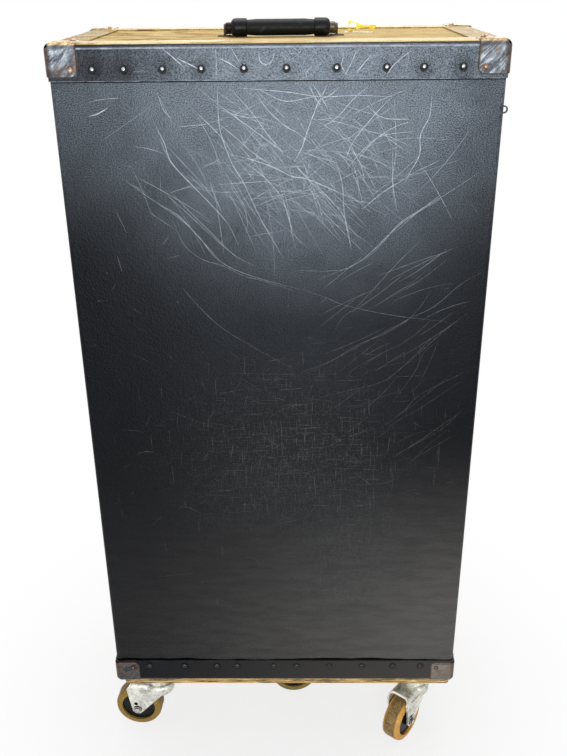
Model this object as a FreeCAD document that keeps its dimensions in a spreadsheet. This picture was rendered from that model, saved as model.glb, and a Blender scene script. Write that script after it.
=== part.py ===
"""Wardrobe trunk on a dolly board with five swivel casters, millimetres.

The trunk stands on end and opens like a book.  X runs along the broad side, Y from the front half
to the rear half, Z up.  The origin is on the floor below the middle of the board; the seam between
the halves is the plane Y = 0.  The hinges are on the -X side, the latches and the lock on +X.
"""
import FreeCAD, Part
import math
import os
import re

import Sketcher

Vector = FreeCAD.Vector
doc = FreeCAD.newDocument("WardrobeTrunk")

# ------------------------------------------------------------------ driving dimensions
SIZES = {
    # case, outside of the covering
    "trunk_wide": 562, "trunk_deep": 300, "trunk_high": 1007,
    "edge_round": 6, "wall": 6, "cover_thick": 1, "lining_thick": 0.8, "seam_gap": 0.6,
    # binding strips, corner caps and rivets
    "strip_wide": 42, "strip_thick": 2, "cap_reach": 38, "cap_proud": 3.5, "cap_round": 9,
    "cap_corner": 10, "cap_bevel": 2, "rivet_wide": 9, "rivet_high": 2.8, "cap_rivet_wide": 7.5,
    "rivet_inset": 55, "cap_rivet_inset": 28, "rivet_drop": 28, "rivet_rise": 31,
    "side_rivet_pitch": 40,
    # seam valance: a metal tongue in the rear half that enters the front half
    "valance_thick": 1, "valance_play": 0.6, "valance_seat": 14, "valance_reach": 8,
    "lining_back": 16,
    # how far a cutting block or bore runs past the piece it cuts
    "past": 1,
    # hinges
    "hinge_high": 64, "leaf_wide": 28, "leaf_thick": 1.6, "knuckle_radius": 4.5,
    "hinge_pin_radius": 2.5, "hinge_stand": 4.8, "hinge_play": 0.05, "knuckle_gap": 0.4,
    "hinge_inset": 170, "swing_gap": 0.4, "leaf_relief": 0.7, "tab_root": 1, "tab_rise": 0.2,
    "hinge_head_thick": 2.5, "hinge_head_step": 0.5,
    # latches and lock
    "latch_high": 46, "latch_reach": 34, "latch_inset": 210, "base_front": 8, "base_back": 12,
    "hasp_thick": 1.8, "hasp_knuckle": 3.4, "hasp_pin": 1.6, "hasp_play": 0.05,
    "hasp_clear": 0.3, "hasp_over": 16, "curl_radius": 2.4, "tongue_reach": 5,
    "keeper_near": 11, "keeper_far": 13, "lock_case_near": 12, "keyhole_inset": 6,
    "keyhole_radius": 2.6,
    "post_radius": 3.2, "post_play": 1.2, "post_high": 7.5, "post_back": 17,
    "lock_high": 62, "lock_case_thick": 7, "lock_case_wide": 46, "tongue_wide": 14,
    "tongue_thick": 3, "tongue_play": 1,
    # carry handle
    "handle_span": 146, "handle_shift": 3, "grip_radius": 10.3, "grip_length": 88,
    "grip_neck": 1, "grip_taper": 12, "sleeve_radius": 11.5, "sleeve_gap": 0.5,
    "sleeve_dome": 6.5, "sleeve_lip": 1.5, "lug_round": 3.5,
    "lug_thick": 8, "lug_wide": 13, "handle_pivot_back": 20, "handle_pivot_high": 9,
    "handle_arm": 21, "plate_thick": 1.5, "ear_thick": 2.5, "handle_pin_radius": 2.5,
    "handle_play": 0.1, "ear_gap": 0.4, "plate_margin": 8, "plate_half": 10,
    # keys and wire loop
    "key_thick": 1.8, "key_long": 38, "bow_wide": 17, "bow_long": 20, "key_hole": 9.8,
    "key_place": 115,
    "key_back": 18, "key_shift": 5, "key_gap": 0.2, "stem_half": 1.6, "bit_long": 7,
    "bit_drop": 6, "bit_notch": 2, "loop_radius": 4, "loop_wire": 0.9, "loop_drop": 79,
    "loop_gap": 0.1,
    "tack_high": 3,
    # drawers
    "panel_thick": 5, "drawer_high": 178, "drawer_count": 4, "drawer_play": 1.5,
    "drawer_side": 6, "drawer_floor": 4, "drawer_rest": 0.3, "carcass_gap": 0.5, "pull_wide": 22,
    "pull_long": 52, "pull_thick": 3, "pull_rise": 125,
    # hanger trolley
    "rail_wide": 14, "rail_place": 60, "rail_skin": 2, "rail_play": 0.5, "rail_gap": 2,
    "slit_wide": 5, "web_thick": 3, "rod_radius": 5, "rod_drop": 26, "bar_thick": 8,
    "bar_drop": 4,
    "hanger_wide": 400, "hanger_thick": 9, "hanger_high": 92, "hanger_pitch": 26,
    "hook_wide": 3.6, "hook_thick": 2, "hook_play": 0.4, "shank_long": 26,
    "hook_lap": 0.5,
    # dolly board and casters
    "board_wide": 552, "board_deep": 286, "board_thick": 12, "board_round": 7,
    "board_shift": 3,
    "caster_high": 110, "caster_inset_x": 54.5, "caster_inset_y": 27, "caster_plate": 50,
    "caster_plate_thick": 3, "race_radius": 20, "race_gap": 0.3, "fork_top": 15,
    "bell_radius": 25, "bell_drop": 17, "bell_round": 7, "rib_proud": 1.2, "rib_drop": 12,
    "rib_back": 8, "rib_front": 46, "rib_foot": 9, "rib_narrow": 4.5, "axle_tip": 4.6,
    "fork_sheet": 3, "fork_back": 17, "fork_front": 17, "fork_round": 10, "kingpin_radius": 5,
    "kingpin_play": 0.1, "kingpin_head": 9, "kingpin_head_thick": 3,
    "wheel_radius": 40, "wheel_wide": 30,
    "wheel_side_gap": 2, "tread_thick": 11, "tread_shoulder": 5.5, "tread_bevel": 1.6,
    "axle_radius": 4,
    "axle_play": 0.08, "axle_head": 4, "axle_head_radius": 6.8, "trail": 38, "hub_boss": 11,
    "hub_dish": 4, "boss_proud": 1,
    "skirt_drop": 9, "eye_half": 9, "eye_flat": 4, "eye_low": 10, "eye_step": 5, "eye_high": 6,
    "eye_front": 11, "nose_drop": 12, "nose_back": 8, "cheek_hole": 2.5, "cheek_hole_rise": 13,
    "cheek_hole_shift": 2,
    "middle_caster_x": -22, "middle_caster_y": -38,
}
# Hand-set rivets along the broad bands, as shares of the way from the middle to the last one.
TOP_RIVETS = (-1, -0.83, -0.62, -0.41, -0.18, 0.05, 0.32, 0.59, 0.79, 1)
LOW_RIVETS = (-1, -0.74, -0.5, -0.35, -0.08, 0.09, 0.33, 0.57, 0.8, 1)
# Right half of a hanger's outline, as shares of its half width and of its height.
HANGER_CURVE = ((0.09, 0), (0.45, 0.28), (0.8, 0.6), (1, 1), (0.94, 1.09), (0.72, 0.82),
                (0.4, 0.55))
HANGER_NECK = 0.36
HANGERS = 3

sheet = doc.addObject("Spreadsheet::Sheet", "Sizes")
for row, (alias, number) in enumerate(SIZES.items(), start=1):
    sheet.set(f"A{row}", alias)
    sheet.set(f"B{row}", str(number))
    sheet.setAlias(f"B{row}", alias)
doc.recompute()


# ------------------------------------------------------------------ helpers
def bound(text):
    """An expression that reads every named size from the sheet."""
    return re.sub(r"[a-z_]+", lambda word: "Sizes." + word[0] if word[0] in SIZES else word[0],
                  str(text))


def value(text):
    return float(sheet.evalExpression(bound(text)))


def bind(item, name, text):
    item.setExpression(name, bound(text))


def place(item, x, y, z):
    for axis, text in zip("xyz", (x, y, z)):
        bind(item, "Placement.Base." + axis, text)
    return item


def box(label, xs, ys, zs):
    """A block between two places on each axis."""
    item = doc.addObject("Part::Box", label)
    for name, (near, far) in zip(("Length", "Width", "Height"), (xs, ys, zs)):
        bind(item, name, f"({far}) - ({near})")
    return place(item, xs[0], ys[0], zs[0])


TURNS = {"x": FreeCAD.Rotation(Vector(0, 1, 0), 90), "y": FreeCAD.Rotation(Vector(1, 0, 0), -90),
         "z": FreeCAD.Rotation()}


def rod(label, axis, radius, length, x, y, z):
    """A cylinder that starts at a place and runs along +axis."""
    item = doc.addObject("Part::Cylinder", label)
    bind(item, "Radius", radius)
    bind(item, "Height", length)
    item.Placement.Rotation = TURNS[axis]
    return place(item, x, y, z)


def cut(label, base, *tools):
    item = doc.addObject("Part::Cut", label)
    item.Base = base
    item.Tool = tools[0] if len(tools) == 1 else join(label + "Tools", *tools)
    return item


def join(label, *pieces):
    item = doc.addObject("Part::MultiFuse", label)
    item.Shapes = list(pieces)
    return item


def common(label, base, tool):
    item = doc.addObject("Part::Common", label)
    item.Base, item.Tool = base, tool
    return item


def group(label, *pieces):
    """Separate pieces of one kind, kept as separate solids."""
    item = doc.addObject("Part::Compound", label)
    item.Links = list(pieces)
    return item


def mirrored(label, source, normal, centre=(0, 0, 0)):
    item = doc.addObject("Part::Mirroring", label)
    item.Source = source
    item.Normal = Vector(*normal)
    item.Base = Vector(*(value(c) for c in centre))
    return item


def rounded(label, base, radius, chosen, kind="Part::Fillet"):
    """Rounds or bevels the edges of a piece for which chosen(edge) holds."""
    doc.recompute()
    item = doc.addObject(kind, label)
    item.Base = base
    size = value(radius)
    item.Edges = [(number, size, size) for number, edge in enumerate(base.Shape.Edges, start=1)
                  if chosen(edge)]
    return item


def body(label):
    return doc.addObject("PartDesign::Body", label)


def sketch(owner, name, role):
    item = owner.newObject("Sketcher::SketchObject", name)
    plane = next(f for f in owner.Origin.OriginFeatures if f.Role == role)
    item.AttachmentSupport = [(plane, "")]
    item.MapMode = "FlatFace"
    return item


def outline(drawing, corners):
    """A closed outline of straight sides through corners that follow the sheet."""
    spots = [(value(x), value(y)) for x, y in corners]
    first = drawing.GeometryCount
    count = len(spots)
    for number, spot in enumerate(spots):
        after = spots[(number + 1) % count]
        drawing.addGeometry(Part.LineSegment(Vector(*spot, 0), Vector(*after, 0)))
    for number, (corner, spot) in enumerate(zip(corners, spots)):
        side, after = first + number, first + (number + 1) % count
        drawing.addConstraint(Sketcher.Constraint("Coincident", side, 2, after, 1))
        for kind, text, start in zip(("DistanceX", "DistanceY"), corner, spot):
            rule = drawing.addConstraint(Sketcher.Constraint(kind, -1, 1, side, 1, start))
            bind(drawing, f"Constraints[{rule}]", text)


def ring(drawing, x, y, radius):
    """A circle whose centre and radius follow the sheet."""
    spot = (value(x), value(y))
    number = drawing.addGeometry(Part.Circle(Vector(*spot, 0), Vector(0, 0, 1), value(radius)))
    for kind, text, start in zip(("DistanceX", "DistanceY"), (x, y), spot):
        rule = drawing.addConstraint(Sketcher.Constraint(kind, -1, 1, number, 3, start))
        bind(drawing, f"Constraints[{rule}]", text)
    rule = drawing.addConstraint(Sketcher.Constraint("Radius", number, value(radius)))
    bind(drawing, f"Constraints[{rule}]", radius)


def pad(owner, name, drawing, length, midplane=True):
    item = owner.newObject("PartDesign::Pad", name)
    item.Profile = drawing
    bind(item, "Length", length)
    item.Midplane = midplane
    return item


def pocket(owner, name, drawing, length=None):
    item = owner.newObject("PartDesign::Pocket", name)
    item.Profile = drawing
    item.Midplane = True
    if length is None:
        item.Type = "ThroughAll"
    else:
        bind(item, "Length", length)
    return item


def revolved(owner, name, drawing):
    """A full turn about the sketch's own vertical axis."""
    item = owner.newObject("PartDesign::Revolution", name)
    item.Profile = drawing
    item.ReferenceAxis = (drawing, ["V_Axis"])
    item.Angle = 360
    return item


def dressed(owner, name, kind, size, chosen):
    """A fillet or chamfer inside a body, on the edges for which chosen(edge) holds."""
    doc.recompute()
    below = owner.Tip
    names = [f"Edge{number}" for number, edge in enumerate(below.Shape.Edges, start=1)
             if chosen(edge)]
    item = owner.newObject("PartDesign::" + kind, name)
    item.Base = (below, names)
    bind(item, "Radius" if kind == "Fillet" else "Size", size)
    return item


def turned(item, x, y, z, yaw):
    """Stands a piece that is drawn at the origin at a place, turned about Z."""
    item.Placement.Rotation = FreeCAD.Rotation(Vector(0, 0, 1), yaw)
    return place(item, x, y, z)


def spans(edge, axis):
    """True for a straight edge along the axis."""
    ends = [vertex.Point for vertex in edge.Vertexes]
    if len(ends) != 2 or not isinstance(edge.Curve, Part.Line):
        return False
    return abs((ends[1] - ends[0]).normalize()[axis]) > 0.999


def near(first, second):
    return abs(first - second) < 0.01


# ------------------------------------------------------------------ levels and places
HALF_WIDE = "trunk_wide/2"
HALF_DEEP = "trunk_deep/2"
SEAM = "seam_gap/2"
BOARD_TOP = "(caster_high + board_thick)"
LOW = f"({BOARD_TOP} + cap_proud)"
TOP = f"({LOW} + trunk_high)"
MIDDLE = f"({LOW} + trunk_high/2)"
SKIN = "(cover_thick + wall)"
INSIDE_WIDE = f"({HALF_WIDE} - {SKIN} - lining_thick)"
INSIDE_LOW = f"({LOW} + {SKIN} + lining_thick)"
INSIDE_TOP = f"({TOP} - {SKIN} - lining_thick)"
INSIDE_BACK = f"({HALF_DEEP} - {SKIN} - lining_thick)"
LIFT = "swing_gap"

parts = {}


def node(name, item):
    item.Label = name
    parts[name] = item
    return item


# ------------------------------------------------------------------ case halves
def half_block(label, grow, radius):
    """Outside of the rear half, grown all round but at the seam, with rounded edges."""
    wide, deep = f"({HALF_WIDE} + {grow})", f"({HALF_DEEP} + {grow})"
    block = box(label + "Block", ("-" + wide, wide), (SEAM, deep),
                (f"{LOW} - ({grow})", f"{TOP} + ({grow})"))
    seam = value(SEAM)
    return rounded(label, block, radius,
                   lambda edge: not all(near(v.Point.y, seam) for v in edge.Vertexes))


def shell_panels():
    """Plywood panels of the rear half: top and bottom over both sides, the back between them."""
    wide, back = f"({HALF_WIDE} - {SKIN})", f"({HALF_DEEP} - {SKIN})"
    low, high = f"({LOW} + {SKIN})", f"({TOP} - {SKIN})"
    across, along = ("-" + HALF_WIDE, HALF_WIDE), ("0", HALF_DEEP)
    slabs = (box("TopSlab", across, along, (high, TOP)),
             box("BottomSlab", across, along, (LOW, low)),
             box("LeftSlab", ("-" + HALF_WIDE, "-" + wide), along, (low, high)),
             box("RightSlab", (wide, HALF_WIDE), along, (low, high)),
             box("BackSlab", ("-" + wide, wide), (back, HALF_DEEP), (low, high)))
    return group("RearShell", *(common("ShellPanel", shell_block, slab) for slab in slabs))


def lining_box(label, skin, start):
    """The space inside the rear half's cloth-lined walls, behind a skin of some thickness."""
    wide = f"({HALF_WIDE} - {skin})"
    return box(label, ("-" + wide, wide), (start, f"{HALF_DEEP} - {skin}"),
               (f"{LOW} + {skin}", f"{TOP} - {skin}"))


covering_block = half_block("CoveringOutside", "0", "edge_round")
shell_block = half_block("ShellOutside", "-cover_thick", "edge_round - cover_thick")
strip_block = half_block("StripOutside", "strip_thick", "edge_round + strip_thick")

rear_shell = shell_panels()
rear_covering = cut("RearCovering", covering_block, shell_block)
rear_lining = cut("RearLining", lining_box("LiningOutside", SKIN, "lining_back"),
                  lining_box("LiningHollow", f"({SKIN} + lining_thick)", "lining_back - past"))


def bands():
    """Top and bottom binding strips: folded over the end edges, mitred at the corners."""
    reach = f"({HALF_WIDE} + 2*strip_wide)"
    deep = f"({HALF_DEEP} + 2*strip_wide)"
    slabs = [box("BandLow", ("-" + reach, reach), ("0", deep),
                 (f"{LOW} - strip_wide", f"{LOW} + strip_wide")),
             box("BandTop", ("-" + reach, reach), ("0", deep),
                 (f"{TOP} - strip_wide", f"{TOP} + strip_wide"))]
    inner = f"({HALF_WIDE} - strip_wide)"
    window = box("BandWindow", ("-" + inner, inner), ("-past", f"{HALF_DEEP} - strip_wide"),
                 (f"{LOW} - 2*strip_wide", f"{TOP} + 2*strip_wide"))
    skin = cut("BandSkin", strip_block, covering_block)
    return common("RearBindings", skin, cut("BandReach", join("BandSlabs", *slabs), window))


rear_bindings = bands()


def corner_cap():
    """Pressed corner of the rear half, top right: three bevelled plates round one corner."""
    sides = [(f"{HALF_WIDE} - cap_reach", f"{HALF_WIDE} + cap_proud"),
             (f"{HALF_DEEP} - cap_reach", f"{HALF_DEEP} + cap_proud"),
             (f"{TOP} - cap_reach", f"{TOP} + cap_proud")]
    block = box("CapBlock", *sides)
    outer = [value(far) for _, far in sides]
    inner = [value(start) for start, _ in sides]

    def meets(edge, corner, axis):
        return spans(edge, axis) and all(
            near(edge.Vertexes[0].Point[other], corner[other]) for other in range(3)
            if other != axis)

    soft = rounded("CapOuterRound", block, "cap_round",
                   lambda edge: any(meets(edge, outer, axis) for axis in range(3)))
    soft = rounded("CapInnerRound", soft, "cap_corner",
                   lambda edge: any(meets(edge, inner, axis) for axis in range(3)))

    def on_rim(edge):
        """Edges of the three outer faces that are not shared by two of them."""
        middle = edge.valueAt((edge.FirstParameter + edge.LastParameter) / 2)
        faces = sum(near(middle[axis], outer[axis]) for axis in range(3))
        low = any(middle[axis] < inner[axis] + value("cap_corner") for axis in range(3))
        return faces == 1 and low and on_border(edge, middle)

    def on_border(edge, middle):
        axis = next(a for a in range(3) if near(middle[a], outer[a]))
        others = [a for a in range(3) if a != axis]
        return not any(spans(edge, a) and near(middle[b], outer[b] - value("cap_round"))
                       for a in others for b in others if a != b)

    bevelled = rounded("CapBevel", soft, "cap_bevel", on_rim, "Part::Chamfer")
    return cut("CapTopRight", bevelled, cap_seat())


def cap_seat():
    """The strip-covered corner that a cap sits on, with bevelled edges inside the cap."""
    far = [f"{HALF_WIDE} + strip_thick", f"{HALF_DEEP} + strip_thick", f"{TOP} + strip_thick"]
    block = box("CapSeatBlock", *(("0", end) for end in far[:2]), (MIDDLE, far[2]))
    corner = [value(end) for end in far]

    def meets(edge):
        return any(spans(edge, axis) and all(
            near(edge.Vertexes[0].Point[other], corner[other]) for other in range(3)
            if other != axis) for axis in range(3))

    return rounded("CapSeat", block, "edge_round/2", meets, "Part::Chamfer")


cap_top_right = corner_cap()
cap_top_left = mirrored("CapTopLeft", cap_top_right, (1, 0, 0))
top_caps = group("TopCaps", cap_top_right, cap_top_left)
low_caps = mirrored("LowCaps", top_caps, (0, 0, 1), (0, 0, MIDDLE))
rear_caps = group("RearCaps", cap_top_right, cap_top_left, low_caps)


def rivet(label, normal, radius, x, y, z):
    """A low riveted head of eight flats: its foot at a place, its crown along the normal."""
    item = doc.addObject("Part::Prism", label)
    item.Polygon = 8
    bind(item, "Circumradius", radius)
    bind(item, "Height", "rivet_high")
    item.Placement.Rotation = FreeCAD.Rotation(Vector(0, 0, 1), Vector(*normal))
    return place(item, x, y, z)


def rivets():
    heads = []
    band = f"({HALF_DEEP} + strip_thick)"
    side = f"({HALF_WIDE} + strip_thick)"
    for level, shares in ((f"{TOP} - rivet_drop", TOP_RIVETS), (f"{LOW} + rivet_rise", LOW_RIVETS)):
        for share in shares:
            heads.append(rivet("BandRivet", (0, 1, 0), "rivet_wide/2",
                               f"{share}*({HALF_WIDE} - rivet_inset)", band, level))
        for sign in (-1, 1):
            for number in (0, 1):
                heads.append(rivet("SideRivet", (sign, 0, 0), "rivet_wide/2", f"{sign}*{side}",
                                   f"{HALF_DEEP} - rivet_inset - {number}*side_rivet_pitch", level))
    wide, deep = f"({HALF_WIDE} - cap_rivet_inset)", f"({HALF_DEEP} - cap_rivet_inset)"
    for sign in (-1, 1):
        for level, flip in ((TOP, 1), (LOW, -1)):
            row = f"{level} - {flip}*cap_rivet_inset"
            heads.append(rivet("CapRivet", (0, 1, 0), "cap_rivet_wide/2", f"{sign}*{wide}",
                               f"{HALF_DEEP} + cap_proud", row))
            heads.append(rivet("CapRivet", (sign, 0, 0), "cap_rivet_wide/2",
                               f"{sign}*({HALF_WIDE} + cap_proud)", deep, row))
        heads.append(rivet("CapRivet", (0, 0, 1), "cap_rivet_wide/2", f"{sign}*{wide}", deep,
                           f"{TOP} + cap_proud"))
    return group("RearRivets", *heads)


rear_rivets = rivets()

for name, piece in (("shell", rear_shell), ("covering", rear_covering), ("lining", rear_lining),
                    ("bindings", rear_bindings), ("caps", rear_caps), ("rivets", rear_rivets)):
    node("rear_" + name, piece)
    twin = mirrored("Front" + name.title(), piece, (0, 1, 0))
    bind(twin, "Placement.Base.z", LIFT)
    node("front_" + name, twin)


def valance():
    """Metal strips inside the rear half's rim; their set-in tongues enter the front half."""
    deep = "(valance_play + valance_thick)"
    wide, narrow = f"({HALF_WIDE} - {SKIN})", f"({HALF_WIDE} - {SKIN} - {deep})"
    low, high = f"({LOW} + {SKIN})", f"({TOP} - {SKIN})"
    inner_low, inner_high = f"({low} + {deep})", f"({high} - {deep})"

    def strip(xs, zs, tongue_xs, tongue_zs):
        seat = box("ValanceSeat", xs, (SEAM, "valance_seat"), zs)
        tongue = box("ValanceTongue", tongue_xs, ("-valance_reach", SEAM), tongue_zs)
        return join("ValanceStrip", seat, tongue)

    across = ("-" + wide, wide)
    across_tongue = (f"valance_play - {wide}", f"{wide} - valance_play")
    upright = (inner_low, inner_high)
    return group(
        "SeamValance",
        strip(across, (inner_high, high), across_tongue, (inner_high, f"{high} - valance_play")),
        strip(across, (low, inner_low), across_tongue, (f"{low} + valance_play", inner_low)),
        strip((narrow, wide), upright, (narrow, f"{wide} - valance_play"), upright),
        strip(("-" + wide, "-" + narrow), upright, (f"valance_play - {wide}", "-" + narrow),
              upright))


node("seam_valance", valance())


# ------------------------------------------------------------------ hinges on the -X side
HINGE_X = f"(-{HALF_WIDE} - hinge_stand)"
HINGE_LEVELS = (f"{LOW} + hinge_inset", MIDDLE, f"{TOP} - hinge_inset")


def hinge_leaf(level, sign, lift):
    """One leaf with its knuckles: the rear leaf has two, the front leaf the one between."""
    third = "(hinge_high/3)"
    foot = f"({level} - hinge_high/2 + {lift})"
    inner, outer = "(knuckle_radius + leaf_relief)", "leaf_wide"
    ys = (inner, outer) if sign > 0 else ("-" + outer, "-" + inner)
    plate = box("LeafPlate", (f"-{HALF_WIDE} - leaf_thick", f"-{HALF_WIDE}"), ys,
                (foot, f"{foot} + hinge_high"))
    pieces = [plate]
    for number in ((0, 2) if sign > 0 else (1,)):
        start = f"({foot} + {number}*{third} + knuckle_gap)"
        long = f"({third} - 2*knuckle_gap)"
        pieces.append(rod("Knuckle", "z", "knuckle_radius", long, HINGE_X, "0", start))
        tab = (("tab_root", f"{inner} + tab_root") if sign > 0
               else (f"-{inner} - tab_root", "-tab_root"))
        pieces.append(box("LeafTab", (f"-{HALF_WIDE} - leaf_thick", f"-{HALF_WIDE} - tab_rise"),
                          tab, (start, f"{start} + {long}")))
    bore = rod("HingeBore", "z", "hinge_pin_radius + hinge_play", "hinge_high + 2*past", HINGE_X,
               "0", f"{foot} - past")
    return cut("HingeLeaf", join("LeafSolid", *pieces), bore)


def hinge_pin(level):
    """A pin with a head on top, standing in the rear leaf's knuckles."""
    shaft = rod("HingeShaft", "z", "hinge_pin_radius", "hinge_high", HINGE_X, "0",
                f"{level} - hinge_high/2")
    head = rod("HingeHead", "z", "knuckle_radius - hinge_head_step", "hinge_head_thick", HINGE_X, "0",
               f"{level} + hinge_high/2 - knuckle_gap")
    return join("HingePin", shaft, head)


node("rear_hinge_leaves", group("RearLeaves", *(hinge_leaf(z, 1, "0") for z in HINGE_LEVELS)))
node("front_hinge_leaves", group("FrontLeaves", *(hinge_leaf(z, -1, LIFT) for z in HINGE_LEVELS)))
node("hinge_pins", group("HingePins", *(hinge_pin(z) for z in HINGE_LEVELS)))


# ------------------------------------------------------------------ latches and lock on the +X side
LATCH_X = f"({HALF_WIDE} + leaf_thick + hasp_knuckle + hasp_clear)"
LATCHES = {"latch_upper": (f"({TOP} - latch_inset)", "latch_high"),
           "latch_lower": (f"({LOW} + latch_inset)", "latch_high"),
           "lock_hasp": (MIDDLE, "lock_high")}


def latch_base(level, high):
    """Plate on the front half with two knuckles and the pin between them."""
    foot = f"({level} - {high}/2)"
    plate = box("BasePlate", (HALF_WIDE, f"{HALF_WIDE} + leaf_thick"),
                ("-latch_reach - base_front", "base_back - latch_reach"), (foot, f"{foot} + {high}"))
    pieces = [plate]
    for start in (foot, f"({foot} + 3*({high})/4)"):
        pieces.append(rod("BaseKnuckle", "z", "hasp_knuckle", f"{high}/4", LATCH_X,
                          "-latch_reach", start))
        pieces.append(box("BaseTab", (f"{HALF_WIDE} + leaf_thick/2", LATCH_X),
                          ("-latch_reach - hasp_knuckle", "-latch_reach"),
                          (start, f"{start} + {high}/4")))
    pieces.append(rod("BasePin", "z", "hasp_pin", high, LATCH_X, "-latch_reach", foot))
    return join("LatchBase", *pieces)


def hasp(level, high, tongue):
    """Swinging plate with its knuckle, its finger curl, and a hole or a tongue."""
    tall = f"({high}/2 - 2*knuckle_gap)"
    foot = f"({level} - {high}/4 + knuckle_gap)"
    end = "(post_back + hasp_over)"
    near_x = f"({LATCH_X} - hasp_thick/2)" if not tongue else f"({LATCH_X} + hasp_thick)"
    plate = box("HaspPlate", (near_x, f"{near_x} + hasp_thick"), ("-latch_reach", end),
                (foot, f"{foot} + {tall}"))
    barrel = rod("HaspKnuckle", "z", "hasp_knuckle", tall, LATCH_X, "-latch_reach", foot)
    curl = rod("HaspCurl", "z", "curl_radius", tall, f"{near_x} + curl_radius", end, foot)
    solid = join("HaspSolid", plate, barrel, curl)
    bore = rod("HaspBore", "z", "hasp_pin + hasp_play", f"{high}", LATCH_X, "-latch_reach",
               f"{foot} - {high}/4")
    if not tongue:
        hole = rod("HaspHole", "x", "post_radius + post_play", "4*hasp_thick",
                   f"{near_x} - hasp_thick", "post_back", level)
        return cut("Hasp", solid, bore, hole)
    staple = box("HaspTongue", (f"{near_x} - tongue_reach", near_x),
                 ("post_back - tongue_thick/2", "post_back + tongue_thick/2"),
                 (f"{level} - tongue_wide/2", f"{level} + tongue_wide/2"))
    return cut("LockHasp", join("LockHaspSolid", solid, staple), bore)


def keeper(level, high):
    """Plate on the rear half with the post that the hasp's hole drops over."""
    plate = box("KeeperPlate", (HALF_WIDE, f"{HALF_WIDE} + leaf_thick"),
                ("post_back - keeper_near", "post_back + keeper_far"),
                (f"{level} - {high}/2", f"{level} + {high}/2"))
    post = rod("KeeperPost", "x", "post_radius", "post_high", HALF_WIDE, "post_back", level)
    return join("Keeper", plate, post)


def lock_case(level, high):
    """Lock case on the rear half with a slot for the hasp's tongue and a keyhole."""
    near_y = "(post_back - lock_case_near)"
    solid = box("LockCaseBlock", (HALF_WIDE, f"{HALF_WIDE} + lock_case_thick"),
                (near_y, f"{near_y} + lock_case_wide"), (f"{level} - {high}/2", f"{level} + {high}/2"))
    far_x = value(f"{HALF_WIDE} + lock_case_thick")
    soft = rounded("LockCaseRound", solid, "leaf_thick",
                   lambda edge: all(near(v.Point.x, far_x) for v in edge.Vertexes))
    slot = box("LockSlot", (f"{HALF_WIDE} + leaf_thick", f"{HALF_WIDE} + 2*lock_case_thick"),
               ("post_back - tongue_thick/2 - tongue_play",
                "post_back + tongue_thick/2 + tongue_play"),
               (f"{level} - tongue_wide/2 - tongue_play", f"{level} + tongue_wide/2 + tongue_play"))
    keyhole = rod("Keyhole", "x", "keyhole_radius", "2*lock_case_thick",
                  f"{HALF_WIDE} + leaf_thick", f"{near_y} + lock_case_wide - keyhole_inset", level)
    return cut("LockCase", soft, slot, keyhole)


node("latch_bases", group("LatchBases", *(
    place(latch_base(level, high), "0", "0", LIFT) for level, high in LATCHES.values())))
for name, (level, high) in LATCHES.items():
    node(name, place(hasp(level, high, name == "lock_hasp"), "0", "0", LIFT))
node("latch_keepers", group("LatchKeepers", *(
    lock_case(level, high) if name == "lock_hasp" else keeper(level, high)
    for name, (level, high) in LATCHES.items())))


# ------------------------------------------------------------------ carry handle on the front half
FRONT_TOP = f"({TOP} + {LIFT})"
PIVOT_Y = "(-handle_pivot_back)"
PIVOT_Z = f"({FRONT_TOP} + handle_pivot_high)"
GRIP_Y = f"({PIVOT_Y} - handle_arm)"
GRIP_Z = f"({FRONT_TOP} + sleeve_radius + sleeve_gap)"
LUG_OUT = "(handle_span/2)"
LUG_IN = f"({LUG_OUT} - lug_thick)"


def grip():
    """Grip turned from one profile: full in the middle, necked where the sleeves start."""
    owner = body("HandleGrip")
    profile = sketch(owner, "GripProfile", "XZ_Plane")
    half = "(grip_length/2)"
    outline(profile, [("0", f"-{half}"), ("grip_radius - grip_neck", f"-{half}"),
                      ("grip_radius", f"-{half} + grip_taper"),
                      ("grip_radius", f"{half} - grip_taper"),
                      ("grip_radius - grip_neck", half), ("0", half)])
    revolved(owner, "GripTurn", profile)
    owner.Placement.Rotation = FreeCAD.Rotation(Vector(0, 1, 0), 90)
    return place(owner, "handle_shift", GRIP_Y, GRIP_Z)


def flat_end(edge, place_x):
    """True for a round edge that lies across the handle at a place."""
    return near(edge.BoundBox.XMin, edge.BoundBox.XMax) and near(edge.BoundBox.XMin, place_x)


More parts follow.
